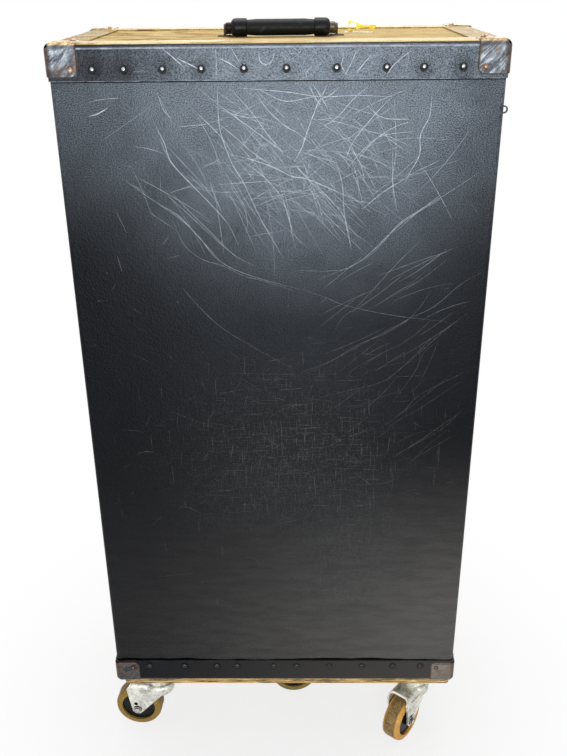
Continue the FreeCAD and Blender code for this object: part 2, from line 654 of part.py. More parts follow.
def handle_end(sign):
    """Thick sleeve, domed outside, with the metal lug that carries the pivot."""
    start = "(grip_length/2)"
    x = f"handle_shift + {start}" if sign > 0 else f"handle_shift - {LUG_IN}"
    lug_x = f"handle_shift + {LUG_IN}" if sign > 0 else f"handle_shift - {LUG_OUT}"
    inner, joint, outer = (value(f"handle_shift + ({sign})*{end}")
                           for end in (start, LUG_IN, LUG_OUT))
    sleeve = rod("Sleeve", "x", "sleeve_radius", f"{LUG_IN} - {start}", x, GRIP_Y, GRIP_Z)
    sleeve = rounded("SleeveDome", sleeve, "sleeve_dome", lambda edge: flat_end(edge, joint))
    sleeve = rounded("SleeveLip", sleeve, "sleeve_lip", lambda edge: flat_end(edge, inner))
    round_end = rod("LugEnd", "x", "lug_wide/2", "lug_thick", lug_x, GRIP_Y, GRIP_Z)
    round_end = rounded("LugSoftEnd", round_end, "lug_round", lambda edge: flat_end(edge, outer))
    eye = rod("LugEye", "x", "lug_wide/2", "lug_thick", lug_x, PIVOT_Y, PIVOT_Z)
    arm = doc.addObject("Part::Box", "LugArm")
    bind(arm, "Length", "lug_thick - lug_round")
    rise, run = value(f"{PIVOT_Z} - {GRIP_Z}"), value(f"{PIVOT_Y} - {GRIP_Y}")
    bind(arm, "Width", f"sqrt(({PIVOT_Z} - {GRIP_Z})^2 + handle_arm^2)")
    bind(arm, "Height", "lug_wide")
    tilt = math.degrees(math.atan2(rise, run))
    arm.Placement.Rotation = FreeCAD.Rotation(Vector(1, 0, 0), tilt)
    drop = Vector(0, math.sin(math.radians(tilt)), -math.cos(math.radians(tilt)))
    arm_x = lug_x if sign > 0 else f"{lug_x} + lug_round"
    place(arm, arm_x, f"{GRIP_Y} + {drop.y}*lug_wide/2", f"{GRIP_Z} + {drop.z}*lug_wide/2")
    bore = rod("LugBore", "x", "handle_pin_radius + handle_play", "lug_thick + 2*past",
               f"{lug_x} - past", PIVOT_Y, PIVOT_Z)
    return cut("HandleEnd", join("HandleEndSolid", sleeve, round_end, eye, arm), bore)


def handle_plate(sign):
    """Plate on the covering with an ear outside the lug and the pivot pin."""
    reach = "ear_gap" if sign > 0 else "ear_gap + ear_thick"
    ear_x = f"(handle_shift + ({sign})*({LUG_OUT} + {reach}))"
    plate_x = (f"(handle_shift + {LUG_IN} - plate_margin)" if sign > 0
               else f"({ear_x} - plate_margin)")
    plate = box("PlateFoot",
                (plate_x, f"{plate_x} + lug_thick + ear_gap + ear_thick + 2*plate_margin"),
                (f"{PIVOT_Y} - plate_half", f"{PIVOT_Y} + plate_half"),
                (FRONT_TOP, f"{FRONT_TOP} + plate_thick"))
    ear = box("PlateEar", (ear_x, f"{ear_x} + ear_thick"),
              (f"{PIVOT_Y} - lug_wide/2", f"{PIVOT_Y} + lug_wide/2"), (FRONT_TOP, PIVOT_Z))
    crown = rod("EarCrown", "x", "lug_wide/2", "ear_thick", ear_x, PIVOT_Y, PIVOT_Z)
    pin_x = f"(handle_shift + {LUG_IN} - ear_gap)" if sign > 0 else f"({ear_x} + ear_thick)"
    pin = rod("HandlePin", "x", "handle_pin_radius", "lug_thick + 2*ear_gap", pin_x, PIVOT_Y,
              PIVOT_Z)
    return join("HandlePlate", plate, ear, crown, pin)


node("handle_grip", grip())
node("handle_ends", group("HandleEnds", handle_end(-1), handle_end(1)))
node("handle_plates", group("HandlePlates", handle_plate(-1), handle_plate(1)))


# ------------------------------------------------------------------ keys and wire loop
def key(label):
    """A flat trunk key: three-sided bow with a hole, stem and a toothed bit."""
    owner = body(label)
    profile = sketch(owner, label + "Profile", "XY_Plane")
    start, end = "(key_long - bit_notch - bit_long)", "(key_long - bit_notch)"
    outline(profile, [("0", "-bow_wide/2"), ("bow_long", "-stem_half"), (start, "-stem_half"),
                      (start, "-bit_drop"), (f"{start} + bit_notch", "-bit_drop"),
                      (f"{start} + bit_notch", "bit_notch - bit_drop"),
                      (f"{end} - bit_notch", "bit_notch - bit_drop"),
                      (f"{end} - bit_notch", "-bit_drop"), (end, "-bit_drop"),
                      (end, "-stem_half"), ("key_long", "-stem_half"), ("key_long", "stem_half"),
                      ("bow_long", "stem_half"), ("0", "bow_wide/2")])
    ring(profile, "0.36*bow_wide", "0", "key_hole/2")
    pad(owner, label + "Plate", profile, "key_thick", midplane=False)
    return owner


flat_key = node("key_flat", key("KeyFlat"))
place(flat_key, "key_place - key_long/2 - key_shift", "key_back", TOP)
leaning_key = node("key_leaning", key("KeyLeaning"))
leaning_key.Placement.Rotation = FreeCAD.Rotation(Vector(1, 0, 0), 90)
place(leaning_key, "key_place - key_long/2", "key_back + bow_wide/2 + key_thick + key_gap",
      f"{TOP} + bow_wide/2")


def wire_loop():
    """A loose wire ring that hangs on a tack at the front edge."""
    x, z = f"({HALF_WIDE} - loop_wire)", f"({FRONT_TOP} - loop_drop)"
    outside = rod("LoopOutside", "y", "loop_radius + loop_wire", "2*loop_wire", x,
                  f"-{HALF_DEEP} - 2*loop_wire - loop_gap", z)
    inside = rod("LoopInside", "y", "loop_radius - loop_wire", "4*loop_wire", x,
                 f"-{HALF_DEEP} - 3*loop_wire", z)
    tack = doc.addObject("Part::Prism", "WireTack")
    tack.Polygon = 8
    bind(tack, "Circumradius", "loop_wire")
    bind(tack, "Height", "tack_high")
    tack.Placement.Rotation = TURNS["y"]
    place(tack, f"{x} - loop_radius + 2*loop_wire + 2*loop_gap", f"-{HALF_DEEP} - tack_high", z)
    return group("WireLoop", cut("WireRing", outside, inside), tack)


node("wire_loop", wire_loop())


# ------------------------------------------------------------------ drawers in the rear half
CARCASS_FRONT = "(valance_seat + carcass_gap)"
CELL = "(drawer_high + panel_thick + 2*drawer_play)"
CARCASS_TOP = f"({INSIDE_LOW} + drawer_count*{CELL} + panel_thick)"


def carcass():
    """Drawer case of panels: two sides, a back and a shelf below and above each drawer."""
    inner, back = f"({INSIDE_WIDE} - panel_thick)", f"({INSIDE_BACK} - panel_thick)"
    upright = (INSIDE_LOW, CARCASS_TOP)
    panels = [box("CaseSide", ("-" + INSIDE_WIDE, "-" + inner), (CARCASS_FRONT, INSIDE_BACK), upright),
              box("CaseSide", (inner, INSIDE_WIDE), (CARCASS_FRONT, INSIDE_BACK), upright),
              box("CaseBack", ("-" + inner, inner), (back, INSIDE_BACK), upright)]
    for number in range(int(value("drawer_count")) + 1):
        foot = f"({INSIDE_LOW} + {number}*{CELL})"
        panels.append(box("CaseShelf", ("-" + inner, inner), (CARCASS_FRONT, back),
                          (foot, f"{foot} + panel_thick")))
    return group("DrawerCarcass", *panels)


def drawer(foot):
    """An open tray of panels: front, back and two sides round a thinner floor."""
    wide = f"({INSIDE_WIDE} - panel_thick - drawer_play)"
    back = f"({INSIDE_BACK} - panel_thick - drawer_play)"
    inner, start = f"({wide} - drawer_side)", f"({CARCASS_FRONT} + drawer_side)"
    across, upright = ("-" + inner, inner), (foot, f"{foot} + drawer_high")
    return group("Drawer",
                 box("DrawerFront", ("-" + wide, wide), (CARCASS_FRONT, start), upright),
                 box("DrawerSide", ("-" + wide, "-" + inner), (start, back), upright),
                 box("DrawerSide", (inner, wide), (start, back), upright),
                 box("DrawerBack", across, (f"{back} - drawer_side", back), upright),
                 box("DrawerFloor", across, (start, f"{back} - drawer_side"),
                     (foot, f"{foot} + drawer_floor")))


def drawer_pull(level):
    """A leather tab with a pointed end that hangs on the drawer's front."""
    owner = body("DrawerPull")
    profile = sketch(owner, "PullProfile", "XZ_Plane")
    half, point = "(pull_wide/2)", "(pull_wide/3)"
    outline(profile, [(half, "0"), (half, f"{point} - pull_long"), (f"{half} - {point}", "-pull_long"),
                      (f"{point} - {half}", "-pull_long"), (f"-{half}", f"{point} - pull_long"),
                      (f"-{half}", "0")])
    pad(owner, "PullStrap", profile, "pull_thick", midplane=False)
    return place(owner, "0", CARCASS_FRONT, level)


node("drawer_carcass", carcass())
for number in range(int(value("drawer_count"))):
    foot = f"({INSIDE_LOW} + panel_thick + {number}*{CELL} + drawer_rest)"
    node(f"drawer_{number + 1}", drawer(foot))
    node(f"drawer_pull_{number + 1}", drawer_pull(f"{foot} + pull_rise"))


# ------------------------------------------------------------------ hanger trolley in the front half
RAIL_TOP = f"({INSIDE_TOP} + {LIFT})"
RAIL_ENDS = (f"-{INSIDE_BACK}", "(-valance_reach - rail_gap)")


def trolley_rail(sign):
    """A channel under the top wall, open at the seam end and slit along its floor."""
    centre = f"{sign}*rail_place"
    solid = box("RailBlock", (f"{centre} - rail_wide/2", f"{centre} + rail_wide/2"), RAIL_ENDS,
                (f"{RAIL_TOP} - rail_wide", RAIL_TOP))
    inner = "(rail_wide/2 - rail_skin)"
    run = box("RailRun", (f"{centre} - {inner}", f"{centre} + {inner}"),
              (f"{RAIL_ENDS[0]} + rail_skin", "past"),
              (f"{RAIL_TOP} - rail_wide + rail_skin", f"{RAIL_TOP} - rail_skin"))
    slit = box("RailSlit", (f"{centre} - slit_wide/2", f"{centre} + slit_wide/2"),
               (f"{RAIL_ENDS[0]} + rail_skin", "past"),
               (f"{RAIL_TOP} - rail_wide - past", f"{RAIL_TOP} - rail_wide/2"))
    return cut("TrolleyRail", solid, run, slit)


def trolley():
    """Two runners with webs through the slits, two cross bars and the hanger rod."""
    start, end = f"({RAIL_ENDS[0]} + rail_skin + rail_play)", RAIL_ENDS[1]
    rod_z = f"({RAIL_TOP} - rail_wide - rod_drop)"
    bar_top = f"({RAIL_TOP} - rail_wide - bar_drop)"
    pieces = []
    for sign in (-1, 1):
        centre = f"{sign}*rail_place"
        inner = "(rail_wide/2 - rail_skin - rail_play)"
        pieces.append(box("Runner", (f"{centre} - {inner}", f"{centre} + {inner}"), (start, end),
                          (f"{RAIL_TOP} - rail_wide + rail_skin + rail_play",
                           f"{RAIL_TOP} - rail_skin - rail_play")))
        pieces.append(box("RunnerWeb", (f"{centre} - web_thick/2", f"{centre} + web_thick/2"),
                          (start, end), (bar_top, f"{RAIL_TOP} - rail_wide/2")))
    ends = ((start, f"{start} + bar_thick"), (f"{end} - bar_thick", end))
    for low, high in ends:
        pieces.append(box("CrossBar", ("-rail_place - web_thick/2", "rail_place + web_thick/2"),
                          (low, high), (f"{bar_top} - bar_thick", f"{bar_top}")))
        pieces.append(box("RodDrop", ("-bar_thick/2", "bar_thick/2"), (low, high),
                          (f"{rod_z} - rod_radius", bar_top)))
    pieces.append(rod("HangerRod", "y", "rod_radius", f"{end} - ({start})", "0", start, rod_z))
    return join("Trolley", *pieces)


def hanger_bar():
    """Curved wooden shoulder bar, flat on both faces."""
    owner = body("HangerBar")
    profile = sketch(owner, "HangerProfile", "XZ_Plane")
    right = [(f"{out}*hanger_wide/2", f"-{down}*hanger_high") for out, down in HANGER_CURVE]
    left = [("-" + x, z) for x, z in reversed(right)]
    outline(profile, right + [("0", f"-{HANGER_NECK}*hanger_high")] + left)
    pad(owner, "HangerPad", profile, "hanger_thick")
    return owner


def hanger_hook(y, rod_z):
    """Flat pressed hook: a ring with a mouth, closed round the rod, on a straight shank."""
    inner = "(rod_radius + hook_play)"
    outer = f"({inner} + hook_wide)"
    start = f"{y} - hook_thick/2"
    eye = cut("HookEye", rod("HookOutside", "y", outer, "hook_thick", "0", start, rod_z),
              rod("HookInside", "y", inner, "2*hook_thick", "0", f"{start} - hook_thick/2", rod_z),
              box("HookMouth", ("0", f"2*{outer}"),
                  (f"{start} - hook_thick", f"{start} + 2*hook_thick"),
                  (f"{rod_z} - {outer}", rod_z)))
    shank = box("HookShank", ("-hook_wide", "0"), (start, f"{start} + hook_thick"),
                (f"{rod_z} - {outer} - shank_long", f"{rod_z} - {inner} - hook_lap"))
    return join("HangerHook", eye, shank)


def hangers():
    bars, hooks = [], []
    rod_z = f"({RAIL_TOP} - rail_wide - rod_drop)"
    foot = f"({rod_z} - rod_radius - hook_play - hook_wide - shank_long)"
    for number in range(HANGERS):
        y = f"(-{INSIDE_BACK}/2 + {number - (HANGERS - 1) / 2}*hanger_pitch)"
        bars.append(place(hanger_bar(), "0", y, foot))
        hooks.append(hanger_hook(y, rod_z))
    node("hanger_bars", group("HangerBars", *bars))
    node("hanger_hooks", group("HangerHooks", *hooks))


node("trolley_rails", group("TrolleyRails", trolley_rail(-1), trolley_rail(1)))
node("hanger_trolley", trolley())
hangers()


# ------------------------------------------------------------------ dolly board
def board():
    wide, deep = "(board_wide/2)", "(board_deep/2)"
    solid = box("BoardBlock", (f"board_shift - {wide}", f"board_shift + {wide}"), ("-" + deep, deep),
                ("caster_high", BOARD_TOP))
    return rounded("DollyBoard", solid, "board_round", lambda edge: spans(edge, 2))


node("dolly_board", board())


# ------------------------------------------------------------------ casters
AXLE_Z = "wheel_radius"
FORK_TOP_Z = "(caster_high - fork_top)"
GAP_WIDE = "(wheel_wide + 2*wheel_side_gap)"


def caster_plate(x, y):
    """Top plate under the board with the bearing race and the kingpin."""
    plate = box("CasterPlate", (f"{x} - caster_plate/2", f"{x} + caster_plate/2"),
                (f"{y} - caster_plate/2", f"{y} + caster_plate/2"),
                ("caster_high - caster_plate_thick", "caster_high"))
    soft = rounded("CasterPlateBevel", plate, "board_round", lambda edge: spans(edge, 2),
                   "Part::Chamfer")
    race = rod("CasterRace", "z", "race_radius", "fork_top - race_gap", x, y,
               f"{FORK_TOP_Z} + race_gap")
    foot = f"({FORK_TOP_Z} - fork_sheet - race_gap - kingpin_head_thick)"
    pin = rod("Kingpin", "z", "kingpin_radius", f"caster_high - {foot}", x, y, foot)
    head = doc.addObject("Part::Prism", "KingpinNut")
    head.Polygon = 6
    bind(head, "Circumradius", "kingpin_head")
    bind(head, "Height", "kingpin_head_thick")
    return join("CasterTop", soft, race, pin, place(head, x, y, foot))


def fork_bell():
    """Domed round head of the fork: closed behind the wheel, open in front where it turns."""
    foot = f"{FORK_TOP_Z} - bell_drop"
    blank = rod("BellBlank", "z", "bell_radius", "bell_drop", "0", "0", foot)
    crest = value(FORK_TOP_Z)
    dome = rounded("BellDome", blank, "bell_round",
                   lambda edge: near(edge.BoundBox.ZMin, crest) and not spans(edge, 2))
    hollow = rod("BellHollow", "z", "bell_radius - fork_sheet", "bell_drop - fork_sheet + past",
                 "0", "0", f"{foot} - past")
    hole = rod("BellHole", "z", "kingpin_radius + kingpin_play", "bell_drop + past", "0", "0",
               foot)
    gap = box("BellGap", ("0", "bell_radius + past"), (f"-{GAP_WIDE}/2", f"{GAP_WIDE}/2"),
              (f"{foot} - past", f"{FORK_TOP_Z} - fork_sheet"))
    return cut("ForkBell", dome, hollow, hole, gap)


def axle_bolt():
    """Axle with a peened round head on one side and a six-sided nut on the other."""
    outside = f"{GAP_WIDE}/2 + fork_sheet"
    axle = rod("Axle", "y", "axle_radius", f"{GAP_WIDE} + 2*fork_sheet", "trail",
               f"-({outside})", AXLE_Z)
    flange = rod("AxleFlange", "y", "axle_head_radius", "axle_head/2", "trail", outside, AXLE_Z)
    tip = rod("AxleTip", "y", "axle_tip", "axle_head", "trail", outside, AXLE_Z)
    nut = doc.addObject("Part::Prism", "AxleNut")
    nut.Polygon = 6
    bind(nut, "Circumradius", "axle_head_radius")
    bind(nut, "Height", "axle_head")
    nut.Placement.Rotation = TURNS["y"]
    place(nut, "trail", f"-({outside}) - axle_head", AXLE_Z)
    return join("AxleBolt", axle, flange, tip, nut)


def fork(x, y, yaw):
    """Pressed fork: a domed head and two ribbed cheeks that taper to the axle."""
    owner = body("Fork")
    side = sketch(owner, "CheekProfile", "XZ_Plane")
    outline(side, [("-fork_back", FORK_TOP_Z), ("-fork_back", f"{FORK_TOP_Z} - skirt_drop"),
                   ("trail - eye_half", f"{AXLE_Z} - eye_step"),
                   ("trail - eye_flat", f"{AXLE_Z} - eye_low"),
                   ("trail + eye_flat", f"{AXLE_Z} - eye_low"),
                   ("trail + eye_half", f"{AXLE_Z} - eye_step"),
                   ("trail + eye_front", f"{AXLE_Z} + eye_high"),
                   ("trail + fork_front", f"{FORK_TOP_Z} - nose_drop"),
                   ("trail + fork_front - nose_back", FORK_TOP_Z)])
    pad(owner, "Cheeks", side, f"{GAP_WIDE} + 2*fork_sheet")
    doc.recompute()
    crest = value(FORK_TOP_Z)
    dressed(owner, "BridgeRound", "Fillet", "fork_round",
            lambda edge: spans(edge, 0) and near(edge.Vertexes[0].Point.z, crest))
    rib = sketch(owner, "RibProfile", "XZ_Plane")
    outline(rib, [("rib_back", f"{FORK_TOP_Z} - rib_drop"),
                  ("trail - rib_narrow", f"{AXLE_Z} + rib_foot"),
                  ("trail + rib_narrow", f"{AXLE_Z} + rib_foot"),
                  ("rib_front", f"{FORK_TOP_Z} - rib_drop")])
    pad(owner, "CheekRibs", rib, f"{GAP_WIDE} + 2*fork_sheet + 2*rib_proud")
    front = sketch(owner, "WheelGap", "YZ_Plane")
    outline(front, [(f"-{GAP_WIDE}/2", "-past"), (f"{GAP_WIDE}/2", "-past"),
                    (f"{GAP_WIDE}/2", f"{FORK_TOP_Z} - fork_sheet"),
                    (f"-{GAP_WIDE}/2", f"{FORK_TOP_Z} - fork_sheet")])
    pocket(owner, "WheelSpace", front)
    ceiling = crest - value("fork_sheet")
    dressed(owner, "CeilingRound", "Fillet", "fork_round - fork_sheet",
            lambda edge: spans(edge, 0) and near(edge.Vertexes[0].Point.z, ceiling))
    holes = sketch(owner, "CheekHoles", "XZ_Plane")
    ring(holes, "trail", AXLE_Z, "axle_radius + axle_play")
    ring(holes, "trail + cheek_hole_shift", f"{AXLE_Z} + cheek_hole_rise", "cheek_hole")
    pocket(owner, "CheekBores", holes)
    crown = sketch(owner, "KingpinHole", "XY_Plane")
    ring(crown, "0", "0", "kingpin_radius + kingpin_play")
    bore = owner.newObject("PartDesign::Pocket", "KingpinBore")
    bore.Profile = crown
    bore.Type = "ThroughAll"
    bore.Reversed = True
    sheet_metal = join("ForkSheet", owner, fork_bell())
    return turned(group("CasterFork", sheet_metal, axle_bolt()), x, y, "0", yaw)


def hub(x, y, yaw):
    """Turned hub: a disc set back from the tread and a boss, bored for the axle."""
    owner = body("Hub")
    profile = sketch(owner, "HubProfile", "XZ_Plane")
    half, rim = "(wheel_wide/2)", "(wheel_radius - tread_thick)"
    outline(profile, [("axle_radius + axle_play", f"-{half} - boss_proud"),
                      ("hub_boss", f"-{half} - boss_proud"),
                      ("hub_boss", f"hub_dish - {half}"), (rim, f"hub_dish - {half}"),
                      (rim, f"{half} - hub_dish"), ("hub_boss", f"{half} - hub_dish"),
                      ("hub_boss", f"{half} + boss_proud"),
                      ("axle_radius + axle_play", f"{half} + boss_proud")])
    revolved(owner, "HubTurn", profile)
    return wheel_seat(owner, x, y, yaw)


def tread(x, y, yaw):
    """Cast tyre round the hub, crowned at both shoulders."""
    owner = body("Tread")
    profile = sketch(owner, "TreadProfile", "XZ_Plane")
    half, rim = "(wheel_wide/2)", "(wheel_radius - tread_thick)"
    brow = "(wheel_radius - tread_bevel)"
    outline(profile, [(rim, f"-{half}"), ("wheel_radius - tread_shoulder", f"-{half}"),
                      (brow, f"tread_bevel - {half}"), ("wheel_radius", f"tread_shoulder - {half}"),
                      ("wheel_radius", f"{half} - tread_shoulder"), (brow, f"{half} - tread_bevel"),
                      ("wheel_radius - tread_shoulder", half), (rim, half)])
    revolved(owner, "TreadTurn", profile)
    return wheel_seat(owner, x, y, yaw)


def wheel_seat(owner, x, y, yaw):
    """Lays a wheel piece that is turned about Z onto its axle."""
    heading = math.radians(yaw)
    owner.Placement.Rotation = (FreeCAD.Rotation(Vector(0, 0, 1), yaw)
                                * FreeCAD.Rotation(Vector(1, 0, 0), 90))
    return place(owner, f"{x} + trail*{math.cos(heading)}", f"{y} + trail*{math.sin(heading)}",
                 AXLE_Z)


# Each caster's place on the board and the way its wheel trails at rest, in degrees from +X.
CASTER_X, CASTER_Y = "(board_wide/2 - caster_inset_x)", "(board_deep/2 - caster_inset_y)"
CASTERS = {
    "front_left": (f"board_shift - {CASTER_X}", f"-{CASTER_Y}", 175),
    "front_right": (f"board_shift + {CASTER_X}", f"-{CASTER_Y}", -128),
    "rear_left": (f"board_shift - {CASTER_X}", CASTER_Y, 113),
    "rear_right": (f"board_shift + {CASTER_X}", CASTER_Y, 62),
    "middle": ("middle_caster_x", "middle_caster_y", 4),
}
node("caster_plates", group("CasterPlates", *(caster_plate(x, y) for x, y, _ in CASTERS.values())))
for name, spot in CASTERS.items():
    node(f"fork_{name}", fork(*spot))
    node(f"hub_{name}", hub(*spot))
    node(f"tread_{name}", tread(*spot))


# ------------------------------------------------------------------ check and write
doc.recompute()
for item in doc.Objects:
    if "Invalid" in item.State or "Error" in item.State:
        raise RuntimeError(f"{item.Name} ({item.Label}) failed: {item.State}")
for name, item in parts.items():
    shape = item.Shape
    if shape.isNull() or not shape.isValid() or not shape.Solids:
        raise RuntimeError(f"{name} has no valid solid")

os.makedirs("parts", exist_ok=True)
for name, item in parts.items():
    item.Shape.exportStep(f"parts/{name}.step")
print(len(parts), "nodes written")
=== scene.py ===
import math
import random

import bmesh
import bpy
from mathutils import Matrix, Vector


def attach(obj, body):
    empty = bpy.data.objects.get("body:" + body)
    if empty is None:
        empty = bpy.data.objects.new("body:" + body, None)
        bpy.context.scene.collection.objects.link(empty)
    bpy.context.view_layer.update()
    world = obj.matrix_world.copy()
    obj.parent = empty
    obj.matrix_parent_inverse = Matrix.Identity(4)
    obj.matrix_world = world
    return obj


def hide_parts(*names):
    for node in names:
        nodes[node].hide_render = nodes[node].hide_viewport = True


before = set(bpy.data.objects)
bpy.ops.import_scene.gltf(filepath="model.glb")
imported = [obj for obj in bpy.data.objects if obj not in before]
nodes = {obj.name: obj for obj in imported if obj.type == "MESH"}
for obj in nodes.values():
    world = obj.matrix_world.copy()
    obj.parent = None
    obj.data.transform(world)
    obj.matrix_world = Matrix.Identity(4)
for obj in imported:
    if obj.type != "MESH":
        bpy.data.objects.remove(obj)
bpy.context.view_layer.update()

# All sizes are in metres. Half the case's width and depth, its bottom, top and height.
WIDE, DEEP, LOW, HIGH = 0.281, 0.15, 0.1255, 1.1325
TALL = HIGH - LOW
# Binding strips: breadth and thickness. Corner caps: breadth, and how far they stand proud.
STRIP, STRIP_THICK, CAP, CAP_PROUD = 0.042, 0.002, 0.038, 0.0035
# How far the front half hangs above the dolly board, and scratches keep off the halves' seam.
LIFT, SEAM = 0.0004, 0.002
# Rows of rivets on the broad faces: heights, and places as shares of RIVET_REACH.
TOP_SHARES = (-1, -0.83, -0.62, -0.41, -0.18, 0.05, 0.32, 0.59, 0.79, 1)
LOW_SHARES = (-1, -0.74, -0.5, -0.35, -0.08, 0.09, 0.33, 0.57, 0.8, 1)
RIVET_ROWS = ((HIGH - 0.028, TOP_SHARES), (LOW + 0.031, LOW_SHARES))
RIVET_REACH = WIDE - 0.055
# Rivets of the narrow sides, places in depth. Rivets of the caps, inset from the case's edges.
SIDE_RIVETS = (DEEP - 0.055, DEEP - 0.095)
CAP_RIVET_IN = 0.028
# Rivet heads: radius, height and number of the material.
BLACK_HEAD, COPPER_HEAD = (0.0045, 0.0028, 0), (0.00375, 0.0027, 1)
# Rings of a rivet head from its foot to its crown: share of the radius, share of the height.
HEAD_RINGS = ((1.0, 0.0), (1.0, 0.16), (0.94, 0.34), (0.78, 0.64), (0.52, 0.88), (0.24, 0.985))
HEAD_FLATS = 16
# Casters: height of the axle, distance from kingpin to axle, half the tread's width.
AXLE_HIGH, TRAIL, TREAD_HALF = 0.04, 0.038, 0.015
# Carry handle: its middle, half lengths of the grip and of the sleeves, the back of the sleeves.
HANDLE_X, GRIP_HALF, SLEEVE_HALF, SLEEVE_BACK = 0.003, 0.044, 0.0642, -0.03
# Where handling has scuffed the front most and the painted sheen is strongest, from left to right.
SCUFF_SHEEN_X = 0.035
# Scratches lie this much above their face.
PROUD = 0.00012
SEED = 47
AMBIENT = 0.38
WHITE = (1, 1, 1, 1)


# ---------------------------------------------------------------- finishes
class Finish:
    """A node material in object coordinates, which are the row frame's metres at rest."""

    def __init__(self, name, **sockets):
        self.material = bpy.data.materials.new(name)
        self.material.use_nodes = True
        tree = self.material.node_tree
        self.nodes, self.links = tree.nodes, tree.links
        self.nodes.clear()
        self.shader = self.nodes.new("ShaderNodeBsdfPrincipled")
        self.surface = self.nodes.new("ShaderNodeOutputMaterial").inputs[0]
        self.links.new(self.shader.outputs[0], self.surface)
        self.place = self.nodes.new("ShaderNodeTexCoord").outputs["Object"]
        split = self.nodes.new("ShaderNodeSeparateXYZ")
        self.links.new(self.place, split.inputs[0])
        self.x, self.y, self.z = split.outputs
        for socket, value in sockets.items():
            self.set(socket.replace("_", " "), value)

    def put(self, socket, value):
        if isinstance(value, bpy.types.NodeSocket):
            self.links.new(value, socket)
        elif isinstance(value, tuple) and len(value) == 3 and socket.type == "RGBA":
            socket.default_value = (*value, 1)
        else:
            socket.default_value = value

    def set(self, name, value):
        self.put(self.shader.inputs[name], value)

    # ------------------------------------------------------------ sums
    def sum(self, kind, a, b=0.0, c=0.0, clamp=False):
        node = self.nodes.new("ShaderNodeMath")
        node.operation, node.use_clamp = kind, clamp
        for socket, value in zip(node.inputs, (a, b, c)):
            self.put(socket, value)
        return node.outputs[0]

    def plus(self, a, b):
        return self.sum("ADD", a, b)

    def minus(self, a, b):
        return self.sum("SUBTRACT", a, b)

    def times(self, a, b, clamp=False):
        return self.sum("MULTIPLY", a, b, clamp=clamp)

    def least(self, a, b):
        return self.sum("MINIMUM", a, b)

    def most(self, a, b):
        return self.sum("MAXIMUM", a, b)

    def size(self, a):
        return self.sum("ABSOLUTE", a)

    def off(self, a, b):
        """How far a is from b, on either side."""
        return self.size(self.minus(a, b))

    def length(self, a, b):
        return self.sum("SQRT", self.sum("MULTIPLY_ADD", a, a, self.times(b, b)))

    def span(self, value, low, high, start=0.0, end=1.0):
        """value from low to high becomes start to end, held at both ends."""
        node = self.nodes.new("ShaderNodeMapRange")
        node.interpolation_type = "SMOOTHSTEP"
        for socket, number in zip(node.inputs, (value, low, high, start, end)):
            self.put(socket, number)
        return node.outputs[0]

    # ------------------------------------------------------------ places
    def past(self, inset=0.0):
        """How far outside of the case's narrow and broad faces, both moved in by the inset."""
        return (self.minus(self.size(self.x), WIDE - inset),
                self.minus(self.size(self.y), DEEP - inset))

    def blob(self, x, z, wide, high):
        """1 in the middle of an oval patch seen from the front, 0 outside of it."""
        across = self.times(self.minus(self.x, x), 1 / wide)
        along = self.times(self.minus(self.z, z), 1 / high)
        return self.span(self.length(across, along), 1.0, 0.0)

    def along(self, x, y, turn):
        """How far a place lies from x, y in the direction turn, seen from above."""
        return self.plus(self.times(self.minus(self.x, x), math.cos(turn)),
                         self.times(self.minus(self.y, y), math.sin(turn)))

    def stretched(self, factors):
        node = self.nodes.new("ShaderNodeVectorMath")
        node.operation = "MULTIPLY"
        self.links.new(self.place, node.inputs[0])
        node.inputs[1].default_value = factors if isinstance(factors, tuple) else (factors,) * 3
        return node.outputs[0]

    def slanted(self, along, across):
        """Coordinates that run up and down a slope of the broad faces."""
        node = self.nodes.new("ShaderNodeCombineXYZ")
        self.put(node.inputs[0], self.times(self.plus(self.x, self.z), along))
        self.put(node.inputs[1], self.times(self.y, along))
        self.put(node.inputs[2], self.times(self.minus(self.x, self.z), across))
        return node.outputs[0]

    # ------------------------------------------------------------ patterns
    def noise(self, factors, detail=3, rough=0.5, warp=0.0):
        """Noise; factors are waves to the metre, one or three, or ready coordinates."""
        node = self.nodes.new("ShaderNodeTexNoise")
        if not isinstance(factors, bpy.types.NodeSocket):
            factors = self.stretched(factors)
        self.links.new(factors, node.inputs["Vector"])
        for name, value in (("Scale", 1), ("Detail", detail), ("Roughness", rough),
                            ("Distortion", warp)):
            node.inputs[name].default_value = value
        return node.outputs[0]

    def cells(self, factors):
        node = self.nodes.new("ShaderNodeTexVoronoi")
        node.feature = "SMOOTH_F1"
        self.links.new(self.stretched(factors), node.inputs["Vector"])
        node.inputs["Scale"].default_value = 1
        return node.outputs["Distance"]

    def mix(self, share, a, b):
        node = self.nodes.new("ShaderNodeMix")
        node.data_type = "RGBA"
        self.put(node.inputs[0], share)
        self.put(node.inputs[6], a)
        self.put(node.inputs[7], b)
        return node.outputs[2]

    def bump(self, height, distance, strength=1.0, below=None):
        node = self.nodes.new("ShaderNodeBump")
        node.inputs["Strength"].default_value = strength
        node.inputs["Distance"].default_value = distance
        self.put(node.inputs["Height"], height)
        if below is not None:
            self.links.new(below, node.inputs["Normal"])
        self.set("Normal", node.outputs[0])
        return node.outputs[0]


def scaled(values, share):
    return tuple(share * value for value in values)


